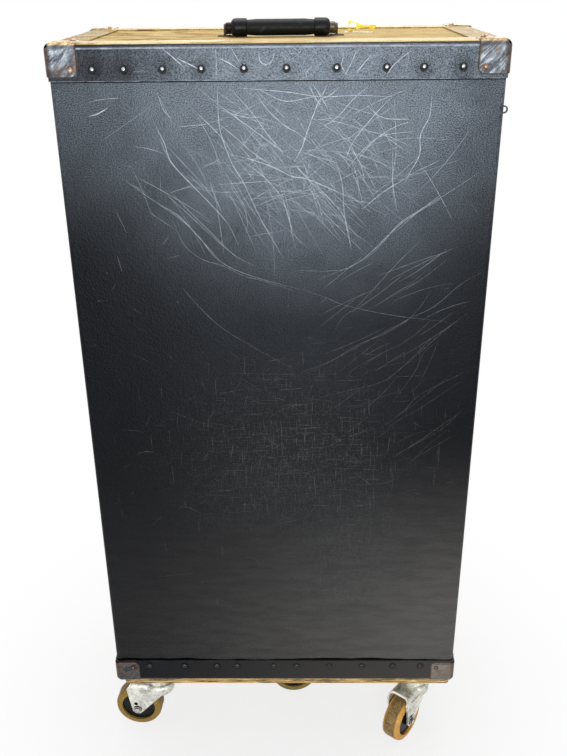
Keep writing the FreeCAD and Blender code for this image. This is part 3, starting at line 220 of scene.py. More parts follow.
def painted_tan_top(f, level, ink, spec):
    """Upward faces are tan, part wear and part a painted warm reflection, grained along the trunk,
    with painted shade in a crease at their edge.
    """
    fibre = f.noise((45, 700, 45), 5, 0.68)
    speck = f.noise((300, 900, 300), 3, 0.7)
    blotch = f.noise((26, 60, 26), 5, 0.66)
    soiled = f.span(f.x, 0.12, -0.24, 0.3, 1.0)
    inner = f.minus(DEEP - STRIP, f.size(f.y))
    tan = f.mix(f.span(fibre, 0.32, 0.66), (0.74, 0.50, 0.19), (1.0, 0.86, 0.50))
    tan = f.mix(f.span(inner, 0.0, 0.004, 0.0, 0.3), tan, (0.44, 0.31, 0.15))
    tan = f.mix(f.span(speck, 0.52, 0.66, 0, 0.6), tan, (0.30, 0.18, 0.06))
    tan = f.mix(f.times(f.span(blotch, 0.44, 0.62, 0, 0.8), soiled), tan, (0.27, 0.155, 0.05))
    ends = f.times(f.span(f.size(f.x), WIDE - STRIP - 0.002, WIDE - STRIP),
                   f.span(inner, -0.002, 0.004, 0, 0.6))
    tan = f.mix(ends, tan, (0.30, 0.19, 0.05))
    # Drawn lines along the strip's inner edge: painted shade in the gap, a painted highlight on
    # the rim and painted shade in the flange's crease.
    for place, wide, colour in ((0.003, 0.0014, (0.09, 0.055, 0.025)),
                                (-0.0035, 0.0014, (0.95, 0.78, 0.50)),
                                (-0.016, 0.0011, (0.22, 0.13, 0.05))):
        line = f.span(f.off(inner, place), wide, wide * 0.4)
        tan = f.mix(f.times(line, f.span(blotch, 0.3, 0.5, 0.9, 0.5)), tan, colour)
    wander = f.times(f.minus(blotch, 0.5), 0.0014)
    inward = f.span(f.most(*f.past()), -0.003, -0.008, 0, 0.004)
    lift = f.plus(f.plus(f.z, wander), inward)
    up = f.span(lift, level, level + 0.0005)
    # Painted shade in a crease along the edge of the upward faces.
    crease_shade = f.times(f.span(lift, level - 0.0020, level - 0.0012),
                     f.span(lift, level + 0.0007, level + 0.0001))
    ink = f.mix(f.times(crease_shade, f.span(speck, 0.3, 0.5, 0.7, 1)), ink,
                (0.003, 0.003, 0.003))
    f.set("Base Color", f.mix(up, ink, tan))
    f.set("Specular IOR Level", f.times(f.span(up, 0, 1, 1, 0.02), spec))


def grain(f, coarse, fine, height, strength):
    pebble, dust = f.cells(coarse), f.noise(fine, 2, 0.6)
    return f.bump(f.plus(f.times(pebble, 0.9), f.times(dust, 0.6)), height, strength)


def scuff_and_sheen(f, tone, fine):
    """How far handling has scuffed the black to a cool grey, with a painted sheen of light on it:
    most at the upper middle.
    """
    edges = f.span(f.z, 0.84, 1.06, 0.03, 0.34)
    middle = f.span(f.off(f.x, SCUFF_SHEEN_X), 0.31, 0.0, edges, 1.0)
    share = f.sum("MULTIPLY_ADD", f.span(f.z, 0.56, 0.80), 0.06, f.span(f.z, 0.75, 1.13, 0, 0.95))
    share = f.times(share, middle)
    share = f.times(share, f.span(tone, 0.2, 0.75, 0.7, 1.15))
    return f.times(share, f.span(fine, 0.385, 0.615, 0.0, 1.95), clamp=True)


def vinyl(name, marks):
    """Black leather-grained vinyl: pebbled, cool grey where it is scuffed and under a painted
    sheen, paler low down and to the right with dust and painted light.
    """
    f = Finish(name)
    tone, broad = f.noise(14, 4, 0.6), f.noise(5, 3, 0.6)
    fine = f.noise(820, 3, 0.8)
    ink = f.mix(f.span(fine, 0.35, 0.65), (0.0018, 0.0019, 0.0027), (0.0060, 0.0065, 0.0090))
    # Painted sheen: the cool grey at the upper middle stands in for the light's highlight, mixed
    # with real scuffing.
    sheen_and_scuff = scuff_and_sheen(f, tone, fine)
    ink = f.mix(sheen_and_scuff, ink, (0.23, 0.268, 0.315))

    # Paler towards the lower right: dust, and painted light falling from the right.
    dust_and_light = f.times(f.span(f.x, -0.3, 0.34, 0.12, 1), f.span(f.z, 0.62, 0.16))
    dust_and_light = f.times(dust_and_light, f.span(f.noise((18, 18, 90), 5, 0.7), 0.3, 0.7, 0.78, 1.14))
    dust_and_light = f.times(dust_and_light, f.span(fine, 0.36, 0.64, 0.45, 1.5), clamp=True)
    ink = f.mix(dust_and_light, ink, (0.100, 0.094, 0.087))

    # Rubbed patches with fine marks across, upright and in specks.
    patch = f.most(f.blob(0.01, 0.56, 0.26, 0.24), f.blob(0.1, 0.38, 0.17, 0.26))
    ink = f.mix(f.times(patch, f.span(fine, 0.4, 0.62, 0.0, marks)), ink, (0.036, 0.037, 0.040))
    for factors in ((40, 1, 1400), (1400, 1, 40), (300, 300, 300)):
        line = f.span(f.noise(factors, 2, 0.7), 0.57, 0.70, 0, marks)
        ink = f.mix(f.times(line, patch), ink, (0.085, 0.085, 0.082))

    # Painted shade in creases that the mesh doesn't have: dark wandering lines, fainter low down.
    crease_shade = f.span(f.off(f.noise(f.slanted(9, 26), 5, 0.62, 2.2), 0.5), 0.011, 0.004)
    crease_shade = f.times(crease_shade, f.span(broad, 0.38, 0.52, 0, 0.35))
    crease_shade = f.times(crease_shade, f.span(f.z, 0.38, 0.60, 0.1, 1))
    ink = f.mix(crease_shade, ink, (0.0015, 0.0015, 0.002))
    rim = f.span(f.least(*f.past()), -0.0024, -0.001)
    worn = f.times(rim, f.span(f.noise(70, 5, 0.7), 0.52, 0.66))
    ink = f.mix(worn, ink, (0.13, 0.115, 0.09))

    # Painted shadow in the gaps along the binding strips; the lower one wanders.
    wave = f.times(f.minus(f.noise((16, 16, 1), 2), 0.28), 0.012)
    low_gap_shadow = f.span(f.minus(f.minus(f.z, LOW + STRIP), wave), 0.0009, 0.0001)
    top_gap_shadow = f.span(f.minus(f.z, HIGH - STRIP), -0.0018, -0.0007)
    gap = f.most(low_gap_shadow, top_gap_shadow)
    ink = f.mix(f.times(gap, 0.95), ink, (0.0012, 0.0012, 0.0014))

    gloss = f.plus(f.sum("MULTIPLY_ADD", sheen_and_scuff, 0.22, 0.075), f.times(dust_and_light, 0.06))
    painted_tan_top(f, HIGH - 0.0016, ink, f.times(f.minus(1, gap), gloss))
    f.set("Roughness", f.span(tone, 0.2, 0.8, 0.28, 0.37))
    f.bump(tone, 0.004, 0.25, grain(f, 400, 760, 0.0009, 0.9))
    return f.material


def near_rivets(f, height, shares):
    """Distance on the broad face to the nearest rivet of a row."""
    drop = f.minus(f.z, height)
    drop = f.times(drop, drop)
    nearest = None
    for share in shares:
        away = f.minus(f.x, share * RIVET_REACH)
        gap = f.sum("MULTIPLY_ADD", away, away, drop)
        nearest = gap if nearest is None else f.least(nearest, gap)
    return f.sum("SQRT", nearest)


def strip_finish(name):
    """Black binding strip: finer grain, dimples and painted shade round the rivets, worn pale
    edges with painted highlights, tan on top with a painted warm reflection.
    """
    f = Finish(name)
    tone, fine = f.noise(22, 4, 0.6), f.noise(1050, 3, 0.8)
    ink = f.mix(f.span(fine, 0.35, 0.65), (0.0035, 0.0037, 0.0047), (0.009, 0.0096, 0.0118))
    # Painted sheen with scuffing, as on the covering, weaker towards the left.
    sheen_and_scuff = f.times(scuff_and_sheen(f, tone, fine), f.span(f.x, -0.24, -0.06, 0.4, 1))
    ink = f.mix(sheen_and_scuff, ink, (0.235, 0.272, 0.325))
    # Paler towards the lower right: dust, and painted light falling from the right.
    dust_and_light = f.times(f.span(f.x, -0.3, 0.3), f.span(f.z, 0.4, 0.12))
    ink = f.mix(dust_and_light, ink, (0.05, 0.046, 0.042))

    top, low = (near_rivets(f, height, shares) for height, shares in RIVET_ROWS)
    # Painted shade: a dark ring at each rivet's foot, and darker dimples round the rivets, which
    # the bump also dents; least in the middle.
    ring = f.most(f.span(top, 0.0060, 0.0050), f.span(low, 0.0062, 0.0048, 0, 0.6))
    dimple_and_shade = f.most(f.span(top, 0.023, 0.003), f.span(low, 0.009, 0.004))
    dimple_and_shade = f.times(dimple_and_shade, f.span(tone, 0.3, 0.62, 0.1, 0.72))
    dimple_and_shade = f.times(dimple_and_shade, f.span(f.off(f.x, SCUFF_SHEEN_X), 0.06, 0.2, 0.3, 1))
    ink = f.mix(f.most(f.times(ring, 0.9), dimple_and_shade), ink, (0.003, 0.003, 0.004))

    # Edges: wear on the strips' free edges and the bottom edge, with painted highlight on the
    # upper strip's lower edge and on the fold below the top.
    patches = f.span(f.noise(55, 5, 0.7), 0.42, 0.6)
    for level, colour in ((HIGH - STRIP, (0.34, 0.38, 0.42)),
                          (LOW + STRIP, (0.03, 0.029, 0.027))):
        line = f.span(f.off(f.z, level), 0.0014, 0.0006)
        ink = f.mix(f.times(line, patches), ink, colour)
    fold = f.span(f.off(f.z, HIGH - 0.0032), 0.0013, 0.0005)
    ink = f.mix(f.times(fold, f.span(patches, 0, 1, 0.5, 1)), ink, (0.46, 0.50, 0.56))
    low_edge = f.span(f.z, LOW + 0.004, LOW - 0.001)
    ink = f.mix(f.times(low_edge, patches), ink, (0.09, 0.07, 0.05))

    gloss = f.sum("MULTIPLY_ADD", sheen_and_scuff, 0.22, 0.085)
    painted_tan_top(f, HIGH + 0.0009, ink, f.times(f.minus(1, f.times(dimple_and_shade, 0.6)), gloss))
    f.set("Roughness", f.span(tone, 0.2, 0.8, 0.28, 0.38))
    f.bump(f.times(dimple_and_shade, -1), 0.0016, 0.6, grain(f, 460, 900, 0.0007, 0.8))
    return f.material


def steel_cap(name):
    """Thin pressed steel: swirled bright scratches, brown tarnish at the rims, copper-tan on top
    as painted warm light.
    """
    f = Finish(name)
    swirl = f.noise(f.slanted(16, 46), 5, 0.6, 1.8)
    streak = f.noise(f.slanted(50, 300), 4, 0.7, 1.4)
    tarnish = f.noise(60, 5, 0.7)
    low = f.span(f.z, 0.5, 0.2)
    steel = f.mix(f.span(swirl, 0.38, 0.64), (0.05, 0.055, 0.066), (0.26, 0.28, 0.31))
    steel = f.mix(f.span(streak, 0.55, 0.68, 0, 0.6), steel, (0.52, 0.55, 0.60))
    steel = f.mix(f.span(streak, 0.44, 0.34, 0, 0.6), steel, (0.05, 0.045, 0.04))
    # Painted light: the low caps are dark on the left and paler brown on the right, as light falls
    # from the right.
    painted_side_light = f.mix(f.span(f.x, -0.1, 0.1), (0.030, 0.024, 0.020), (0.22, 0.175, 0.135))
    steel = f.mix(f.times(low, 0.72), steel, painted_side_light)
    rust = f.mix(f.noise(220, 3), (0.09, 0.052, 0.034), (0.25, 0.15, 0.10))
    rusty = f.times(f.span(tarnish, 0.52, 0.66), f.span(low, 0, 1, 0.6, 0.9))
    steel = f.mix(rusty, steel, rust)

    rise = f.minus(f.off(f.z, (LOW + HIGH) / 2), TALL / 2 - CAP)
    rim = f.least(f.least(*f.past(CAP)), rise)
    edge = f.times(f.span(rim, 0.0042, 0.0014), f.span(tarnish, 0.3, 0.5, 0.6, 1))
    steel = f.mix(edge, steel, (0.115, 0.082, 0.062))
    steel = f.mix(f.span(f.least(*f.past()), -0.006, 0.0005, 0, 0.85), steel, (0.10, 0.058, 0.036))

    # Painted warm light: the caps' upper faces are coloured copper-tan.
    up = f.span(f.z, HIGH + 0.0002, HIGH + 0.0022)
    copper = f.mix(f.span(swirl, 0.4, 0.62), (0.30, 0.17, 0.06), (0.90, 0.66, 0.30))
    copper = f.mix(f.span(f.noise((90, 500, 90), 4, 0.7), 0.5, 0.64, 0, 0.8), copper,
                   (0.09, 0.05, 0.022))
    copper = f.mix(f.times(edge, 0.6), copper, (0.06, 0.035, 0.016))
    f.set("Base Color", f.mix(up, steel, copper))
    f.set("Metallic", f.span(up, 0, 1, 0.85, 0.2))
    f.set("Roughness", f.span(tarnish, 0.35, 0.65, 0.34, 0.62))
    f.bump(f.plus(swirl, f.times(tarnish, 1.5)), 0.0009, 0.5)
    return f.material


def rivet_black(name):
    """Black-enamelled rivet with a painted highlight: bright bare steel on the crown, dimmer low
    down.
    """
    f = Finish(name, Specular_IOR_Level=0.45)
    facing = f.nodes.new("ShaderNodeSeparateXYZ")
    f.links.new(f.nodes.new("ShaderNodeTexCoord").outputs["Normal"], facing.inputs[0])
    across, out, up = facing.outputs
    # Painted highlight: the part of the crown facing front and a little upward is made bright
    # steel.
    level = f.sum("MULTIPLY_ADD", up, 0.24, f.most(f.size(across), f.size(out)))
    wear = f.noise(900, 3, 0.6)
    crown = f.times(f.span(level, 0.92, 1.03), f.span(wear, 0.25, 0.5, 0.75, 1))
    glint_colour = f.mix(f.span(f.z, 0.5, 0.9), (0.03, 0.03, 0.032), (0.54, 0.56, 0.60))
    f.set("Base Color", f.mix(crown, (0.0045, 0.0047, 0.0055), glint_colour))
    f.set("Metallic", crown)
    f.set("Roughness", f.span(wear, 0.3, 0.7, 0.18, 0.34))
    f.bump(wear, 0.0001, 0.4)
    return f.material


def rivet_copper(name):
    """Coppered rivet of the corner caps, darker brown on the low ones."""
    f = Finish(name, Metallic=0.9)
    cloud, pits = f.noise(120, 4, 0.65), f.noise(900, 3, 0.6)
    high = f.span(f.z, 0.4, 0.8)
    tone = f.mix(f.span(cloud, 0.35, 0.65), f.mix(high, (0.06, 0.038, 0.028), (0.24, 0.14, 0.10)),
                 f.mix(high, (0.17, 0.10, 0.075), (0.56, 0.38, 0.29)))
    f.set("Base Color", f.mix(f.span(pits, 0.56, 0.7, 0, 0.8), tone, (0.07, 0.04, 0.03)))
    f.set("Roughness", f.span(cloud, 0.3, 0.7, 0.28, 0.5))
    f.bump(pits, 0.0002, 0.4)
    return f.material


def metal(name, base, bright, dark, rough=0.35, pitting=260, metallic=1.0):
    """Plated or bare metal with clouded tone, dull spots and fine pitting."""
    f = Finish(name, Metallic=metallic)
    cloud, pits = f.noise(38, 5, 0.65), f.noise(pitting, 4, 0.6)
    tone = f.mix(f.span(cloud, 0.3, 0.68), base, bright)
    f.set("Base Color", f.mix(f.span(pits, 0.56, 0.7, 0, 0.8), tone, dark))
    f.set("Roughness", f.span(cloud, 0.3, 0.7, rough, rough + 0.22))
    f.bump(pits, 0.0002, 0.4)
    return f.material


def zinc(name, wheel=None):
    """Zinc-plated sheet: spangled grey-white; with a wheel, rings at the axle and a dark disc
    painted as the shade of a hole.
    """
    f = Finish(name, Metallic=0.75)
    cloud, spangle, pits = f.noise(55, 5, 0.68), f.noise(210, 3, 0.6), f.noise(520, 4, 0.6)
    tone = f.mix(f.span(cloud, 0.32, 0.66), (0.40, 0.40, 0.35), (0.82, 0.81, 0.72))
    tone = f.mix(f.span(spangle, 0.45, 0.66, 0, 0.6), tone, (0.94, 0.93, 0.86))
    tone = f.mix(f.span(pits, 0.57, 0.70, 0, 0.7), tone, (0.22, 0.19, 0.13))
    if wheel:
        along = f.along(*wheel)
        rise = f.minus(f.z, AXLE_HIGH)
        from_axle = f.length(along, rise)
        for reach in (0.0046, 0.0069):
            ring = f.span(f.off(from_axle, reach), 0.0009, 0.0003)
            tone = f.mix(f.times(ring, 0.85), tone, (0.05, 0.045, 0.035))
        # Painted shade: a dark disc where the cheek's hole would be.
        from_hole = f.length(f.minus(along, 0.002), f.minus(rise, 0.013))
        tone = f.mix(f.span(from_hole, 0.0036, 0.0031), tone, (0.008, 0.008, 0.008))
    f.set("Base Color", tone)
    f.set("Roughness", f.span(cloud, 0.3, 0.7, 0.32, 0.55))
    f.bump(f.plus(cloud, pits), 0.0006, 0.5)
    return f.material


def wood(name, dark, light, factors, rough=0.55, plies=0.0):
    """Timber with grain along one axis; plies stripes its edges with glue lines."""
    f = Finish(name)
    fibre, pore = f.noise(factors, 6, 0.62, 0.6), f.noise(scaled(factors, 4), 3, 0.6)
    tone = f.mix(f.span(fibre, 0.3, 0.7), dark, light)
    tone = f.mix(f.span(pore, 0.58, 0.72, 0, 0.5), tone, scaled(dark, 0.45))
    if plies:
        layer = f.span(f.sum("PINGPONG", f.z, plies), plies * 0.55, plies * 0.75)
        tone = f.mix(f.times(layer, 0.45), tone, scaled(dark, 0.5))
        stain, chip = f.noise((22, 22, 330), 5, 0.74), f.noise((34, 34, 300), 4, 0.7)
        tone = f.mix(f.span(stain, 0.48, 0.58, 0, 0.92), tone, (0.045, 0.028, 0.013))
        tone = f.mix(f.span(chip, 0.56, 0.68, 0, 0.8), tone, (0.95, 0.72, 0.36))
    f.set("Base Color", tone)
    f.set("Roughness", f.span(fibre, 0.3, 0.7, rough - 0.08, rough + 0.12))
    f.bump(f.plus(fibre, pore), 0.0004, 0.4)
    return f.material


def cloth(name, dark, light, thread=1500, stripe=0.0):
    """Printed lining cloth: plain weave, with faded broad stripes where stripe gives a width."""
    f = Finish(name, Roughness=0.92, Specular_IOR_Level=0.15)
    warp = f.sum("SINE", f.times(f.plus(f.x, f.y), thread * 2))
    weft = f.sum("SINE", f.times(f.z, thread * 2))
    weave = f.times(warp, weft)
    tone = f.mix(f.span(f.noise(9, 4, 0.6), 0.3, 0.7), dark, light)
    if stripe:
        band = f.sum("PINGPONG", f.plus(f.x, 1.0), stripe)
        tone = f.mix(f.span(band, stripe * 0.62, stripe * 0.66, 0, 0.55), tone, scaled(dark, 0.45))
    f.set("Base Color", f.mix(f.span(weave, -1, 1, 0, 0.35), tone, scaled(dark, 0.6)))
    f.bump(f.plus(f.span(weave, -1, 1), f.noise(800, 2)), 0.0002, 0.6)
    return f.material


def leather(name, base, worn, rough=0.42, wear=0.6, spec=0.45):
    f = Finish(name, Specular_IOR_Level=spec)
    pebble, patch = f.cells(900), f.noise(75, 5, 0.68)
    f.set("Base Color", f.mix(f.span(patch, wear, wear + 0.14), base, worn))
    f.set("Roughness", f.span(patch, 0.3, 0.7, rough, rough + 0.2))
    f.bump(f.plus(pebble, patch), 0.0003, 0.5)
    return f.material


def handle_fittings(name):
    """Black moulded sleeves between brown worn steel lugs, the left lug painted darker as shade.
    """
    f = Finish(name)
    cloud, pits = f.noise(90, 5, 0.68), f.noise(600, 3, 0.6)
    out = f.off(f.x, HANDLE_X)
    steel = f.most(f.span(out, SLEEVE_HALF, SLEEVE_HALF + 0.0006),
                   f.span(f.y, SLEEVE_BACK, SLEEVE_BACK + 0.0015))
    brown = f.mix(f.span(cloud, 0.35, 0.65), (0.05, 0.043, 0.033), (0.20, 0.18, 0.145))
    # Painted shade: the lugs darken towards the left.
    brown = f.mix(f.span(f.x, 0.06, -0.04, 0.2, 0.93), brown, (0.008, 0.007, 0.007))
    brown = f.mix(f.span(pits, 0.55, 0.68, 0, 0.8), brown, (0.03, 0.02, 0.014))
    black = f.mix(f.span(cloud, 0.5, 0.7), (0.004, 0.0042, 0.006), (0.022, 0.024, 0.03))
    lip = f.span(f.minus(out, GRIP_HALF), 0.0014, 0.0004)
    black = f.mix(lip, black, (0.0015, 0.0015, 0.0018))
    f.set("Base Color", f.mix(steel, black, brown))
    f.set("Metallic", f.span(steel, 0, 1, 0, 0.85))
    f.set("Specular IOR Level", f.span(steel, 0, 1, 0.2, 0.5))
    f.set("Roughness", f.span(cloud, 0.3, 0.7, 0.26, 0.46))
    f.bump(f.plus(cloud, pits), 0.0004, 0.4)
    return f.material


def plastic(name, base, scuff, rough, spec):
    f = Finish(name, Specular_IOR_Level=spec)
    cloud, mark = f.noise(70, 4, 0.65), f.noise((500, 500, 120), 4, 0.7)
    f.set("Base Color", f.mix(f.span(mark, 0.56, 0.7), base, scuff))
    f.set("Roughness", f.span(cloud, 0.3, 0.7, rough, rough + 0.25))
    f.bump(mark, 0.0002, 0.4)
    return f.material


def tread_finish(name, base, edge, wheel):
    """Cast polyurethane: brighter at both edges of the rolling face, scuffed between."""
    f = Finish(name, Specular_IOR_Level=0.22)
    mark, fleck = f.noise(95, 6, 0.72), f.noise(420, 4, 0.65)
    tone = f.mix(f.span(mark, 0.35, 0.65), base, scaled(base, 0.5))
    tone = f.mix(f.span(fleck, 0.56, 0.68, 0, 0.7), tone, (0.54, 0.38, 0.19))
    scribble = f.span(f.off(f.noise(150, 4, 0.6, 3.0), 0.5), 0.022, 0.006, 0, 0.75)
    tone = f.mix(scribble, tone, (0.60, 0.44, 0.22))
    x, y, turn = wheel
    across = f.along(x, y, turn + math.pi / 2)
    rim = f.span(f.size(across), TREAD_HALF - 0.0062, TREAD_HALF - 0.0035)
    f.set("Base Color", f.mix(f.times(rim, f.span(fleck, 0.35, 0.6, 1, 0.4)), tone, edge))
    f.set("Roughness", f.span(mark, 0.3, 0.7, 0.35, 0.6))
    f.bump(f.plus(mark, fleck), 0.0005, 0.5)
    return f.material


def scratch_grey(name):
    """Scuffed lines: bright high on the face, a painted highlight where the front's sheen falls,
    dull low down.
    """
    f = Finish(name, Specular_IOR_Level=0.2, Roughness=0.55)
    # Painted highlight: the scratches' colour brightens with height.
    high = f.span(f.z, 0.66, 1.04)
    bright = f.mix(high, (0.15, 0.147, 0.138), (0.68, 0.74, 0.80))
    dull = f.mix(high, (0.04, 0.04, 0.04), (0.36, 0.40, 0.44))
    f.set("Base Color", f.mix(f.span(f.noise(320, 4, 0.7), 0.38, 0.62), dull, bright))
    return f.material


# ---------------------------------------------------------------- pieces
def piece(name, shape, material, body):
    """Turn the bmesh into a shown piece that rides on a body."""
    mesh = bpy.data.meshes.new(name)
    shape.to_mesh(mesh)
    shape.free()
    obj = bpy.data.objects.new(name, mesh)
    bpy.context.scene.collection.objects.link(obj)
    mesh.materials.append(material)
    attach(obj, body)
    return obj


def head_into(bm, foot, normal, radius, high, index):
    """A rivet head: a thin flange and a crown that rises from it, turned about its normal."""
    foot, normal = Vector(foot), Vector(normal)
    side = normal.orthogonal().normalized()
    up = normal.cross(side)
    loops = []
    for reach, rise in HEAD_RINGS:
        loop = []
        for step in range(HEAD_FLATS):
            turn = 2 * math.pi * step / HEAD_FLATS
            out = side * math.cos(turn) + up * math.sin(turn)
            loop.append(bm.verts.new(foot + out * radius * reach + normal * high * rise))
        loops.append(loop)
    crown = bm.verts.new(foot + normal * high)
    flats = [(step, (step + 1) % HEAD_FLATS) for step in range(HEAD_FLATS)]
    corners = [(lower[start], lower[end], upper[end], upper[start])
               for lower, upper in zip(loops, loops[1:]) for start, end in flats]
    corners += [(loops[-1][start], loops[-1][end], crown) for start, end in flats]
    for around in corners:
        face = bm.faces.new(around)
        face.smooth, face.material_index = True, index
    bm.faces.new(tuple(reversed(loops[0]))).material_index = index


def rivet_heads(name, sign, lift, body, node, black, copper):
    """All rivets of one half: black ones along the bands, copper ones in the corner caps."""
    bm = bmesh.new()
    skin, side = DEEP + STRIP_THICK, WIDE + STRIP_THICK
    for level, shares in RIVET_ROWS:
        for share in shares:
            head_into(bm, (share * RIVET_REACH, sign * skin, level + lift), (0, sign, 0),
                      *BLACK_HEAD)
        for way in (-1, 1):
            for deep in SIDE_RIVETS:
                head_into(bm, (way * side, sign * deep, level + lift), (way, 0, 0), *BLACK_HEAD)
    wide, deep = WIDE - CAP_RIVET_IN, DEEP - CAP_RIVET_IN
    for way in (-1, 1):
        for level in (HIGH - CAP_RIVET_IN, LOW + CAP_RIVET_IN):
            head_into(bm, (way * wide, sign * (DEEP + CAP_PROUD), level + lift), (0, sign, 0),
                      *COPPER_HEAD)
            head_into(bm, (way * (WIDE + CAP_PROUD), sign * deep, level + lift), (way, 0, 0),
                      *COPPER_HEAD)
        head_into(bm, (way * wide, sign * deep, HIGH + CAP_PROUD + lift), (0, 0, 1), *COPPER_HEAD)
    heads = piece(name, bm, black, body)
    heads.data.materials.append(copper)
    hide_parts(node)


def smooth_line(points):
    """Catmull-Rom points through a scratch's corners, about 4 mm apart."""
    out = []
    ends = [points[0]] + points + [points[-1]]
    for before, start, end, after in zip(ends, ends[1:], ends[2:], ends[3:]):
        steps = max(1, int((end - start).length / 0.004))
        for step in range(steps):
            t = step / steps
            out.append(0.5 * (2 * start + (end - before) * t
                              + (2 * before - 5 * start + 4 * end - after) * t * t
                              + (3 * start - before - 3 * end + after) * t ** 3))
    return out + [points[-1]]


def scratch_into(bm, points, wide, spread, place, rng):
    """A thin scuffed line of uneven width that thins out at its ends, lying on a face."""
    line = smooth_line([Vector(point) for point in points])
    count = len(line)
    before = None
    for step, spot in enumerate(line):
        ahead = line[min(step + 1, count - 1)] - line[max(step - 1, 0)]
        side = Vector((-ahead.y, ahead.x)).normalized()
        taper = min(1.0, 0.25 + 3.0 * min(step, count - 1 - step) / max(count, 8))
        half = 0.5 * wide * taper * (1 + spread * rng.uniform(-0.8, 0.8))
        pair = [bm.verts.new(place(spot - side * half)), bm.verts.new(place(spot + side * half))]
        if before:
            bm.faces.new((before[0], before[1], pair[1], pair[0]))
        before = pair


# Traced scratches of the broad face: share of the width, then x and height in mm.
SCRATCHES = """
0.8: -100,1084 -73,1062 -47,1043 -14,1019 9,1001 31,976 54,952 87,912
0.9: -74,1082 -73,1034 -60,992 -45,965 -25,920 -7,886 5,864
0.9: -58,1081 -31,1051 -11,1023 22,987 45,964 68,941 87,915 95,876
0.8: -26,1075 -13,1056 9,1036 22,1029 42,1014
1.3: -60,1001 -32,994 -5,984 17,973 38,969 77,952 110,938
0.8: -57,999 -37,987 -15,969 3,946 12,922 19,898 31,882
0.7: -79,963 -49,965 -17,967 17,971
0.6: -65,965 -50,941 -42,920 -43,899
0.8: -88,967 -84,951 -74,925
0.8: -149,1022 -141,999 -131,984 -114,965 -90,939 -67,911 -54,882
0.9: -155,938 -132,923 -115,904 -97,882 -81,863
0.6: -140,954 -114,925 -80,889 -57,864
0.9: -48,1082 9,1077 53,1071 97,1072 141,1070
0.8: -22,1080 9,1066 42,1071
0.9: 141,1070 120,1048 96,1018 86,993 90,986
0.9: 111,1060 131,1045 165,1043
0.9: 190,1071 189,1047 179,1024 179,999 168,977 162,963
0.9: 162,969 135,952 109,930
0.9: 209,942 171,919 149,900 126,876 112,862
0.7: 208,947 176,921 156,902
0.8: 73,993 82,961 85,926 92,890 96,876
0.7: 87,1024 94,1007 106,984 110,966
0.6: 93,980 102,961 109,938
1.2: 54,1072 45,1051 36,1027 29,1007 20,991
1: 111,1082 93,1067 76,1048 58,1035
1.1: 76,1082 64,1072 51,1066 45,1049
1: 61,1084 54,1070 51,1059
1: 39,1084 47,1069 53,1061
1.2: 44,1085 54,1070 62,1057
0.9: 99,991 121,1017 145,1033 165,1040
0.8: 86,980 104,1002 128,1022 170,1028
0.9: -100,1052 -70,1021 -57,999
0.7: -71,1056 -40,1047 -13,1049
0.8: -76,1041 -52,1021 -32,1003 -5,985
0.7: 49,1044 76,1040 105,1031 139,1022 166,1010
0.7: 27,1004 54,996 77,989
0.6: -43,944 -15,946 31,954
0.5: -40,894 8,902
0.6: 206,992 182,981 166,972
0.5: -146,1072 -138,1052 -132,1041
0.5: -126,1036 -87,1039
0.5: 144,1069 149,1006 146,966 152,928
0.8: 27,847 70,846 98,853 133,882 157,910 181,927 218,950 259,978
0.6: 53,835 84,847 120,867 139,887 160,910
0.7: 27,821 62,808 85,798 128,787 172,779 230,772
0.7: 99,787 132,826 159,858 186,887
0.6: 128,793 161,817 192,832
0.9: 27,695 71,714 106,737 144,755 178,777 211,795 243,825 270,843
0.7: 33,692 77,717 115,740 152,762 189,783 206,789
0.6: 81,696 113,724 141,749
0.9: 27,648 87,665 141,680 175,707 214,746 236,767 255,783
0.7: 159,733 185,752 207,774
0.8: 149,610 176,634 196,658 233,681 267,699
0.6: 185,627 220,654 262,687
0.8: 165,559 200,582 235,606 263,639
0.5: 189,546 213,575 241,603
0.7: 160,648 188,694 201,727 215,739
0.6: 195,674 210,714 220,746
0.5: 108,796 85,778 74,756
0.6: 145,1005 147,963 154,927
0.6: -202,973 -178,954 -152,935 -127,916 -106,894 -86,866 -59,848 -21,834 27,820
0.5: -140,916 -126,883 -103,863 -76,854 -49,840 -21,832 17,819
1.4: -236,1050 -226,1052 -211,1060
0.5: -237,1066 -217,1070 -194,1071
0.6: -148,1075 -142,1056 -132,1046
0.9: -153,1036 -144,1016 -138,995 -123,975 -111,964
0.6: -151,956 -121,927 -90,896 -59,868 -35,854
0.6: -217,869 -212,846
0.8: -132,823 -106,790 -79,763 -51,744 -12,719 17,703
0.6: -210,727 -182,711
0.6: -161,726 -150,717
0.6: -73,696 -24,694 27,692
0.5: -56,688 -30,668
0.7: -158,634 -128,621 -94,605
0.7: -18,624 6,639 51,649
1: 166,558 203,586 236,613 258,632
0.9: -161,466 -150,472 -125,460
0.8: -149,483 -146,468
1.6: -215,564 -202,568 -190,567
0.8: -59,380 -44,373 -37,364
0.5: -203,339 -142,346
0.7: -199,609 -189,630
0.7: 153,239 165,224 172,216
0.8: 163,296 171,282 182,275
0.6: 101,509 154,513 182,530
0.6: 76,501 112,501
0.9: -132,246 -131,239
0.9: 98,315 104,296
"""
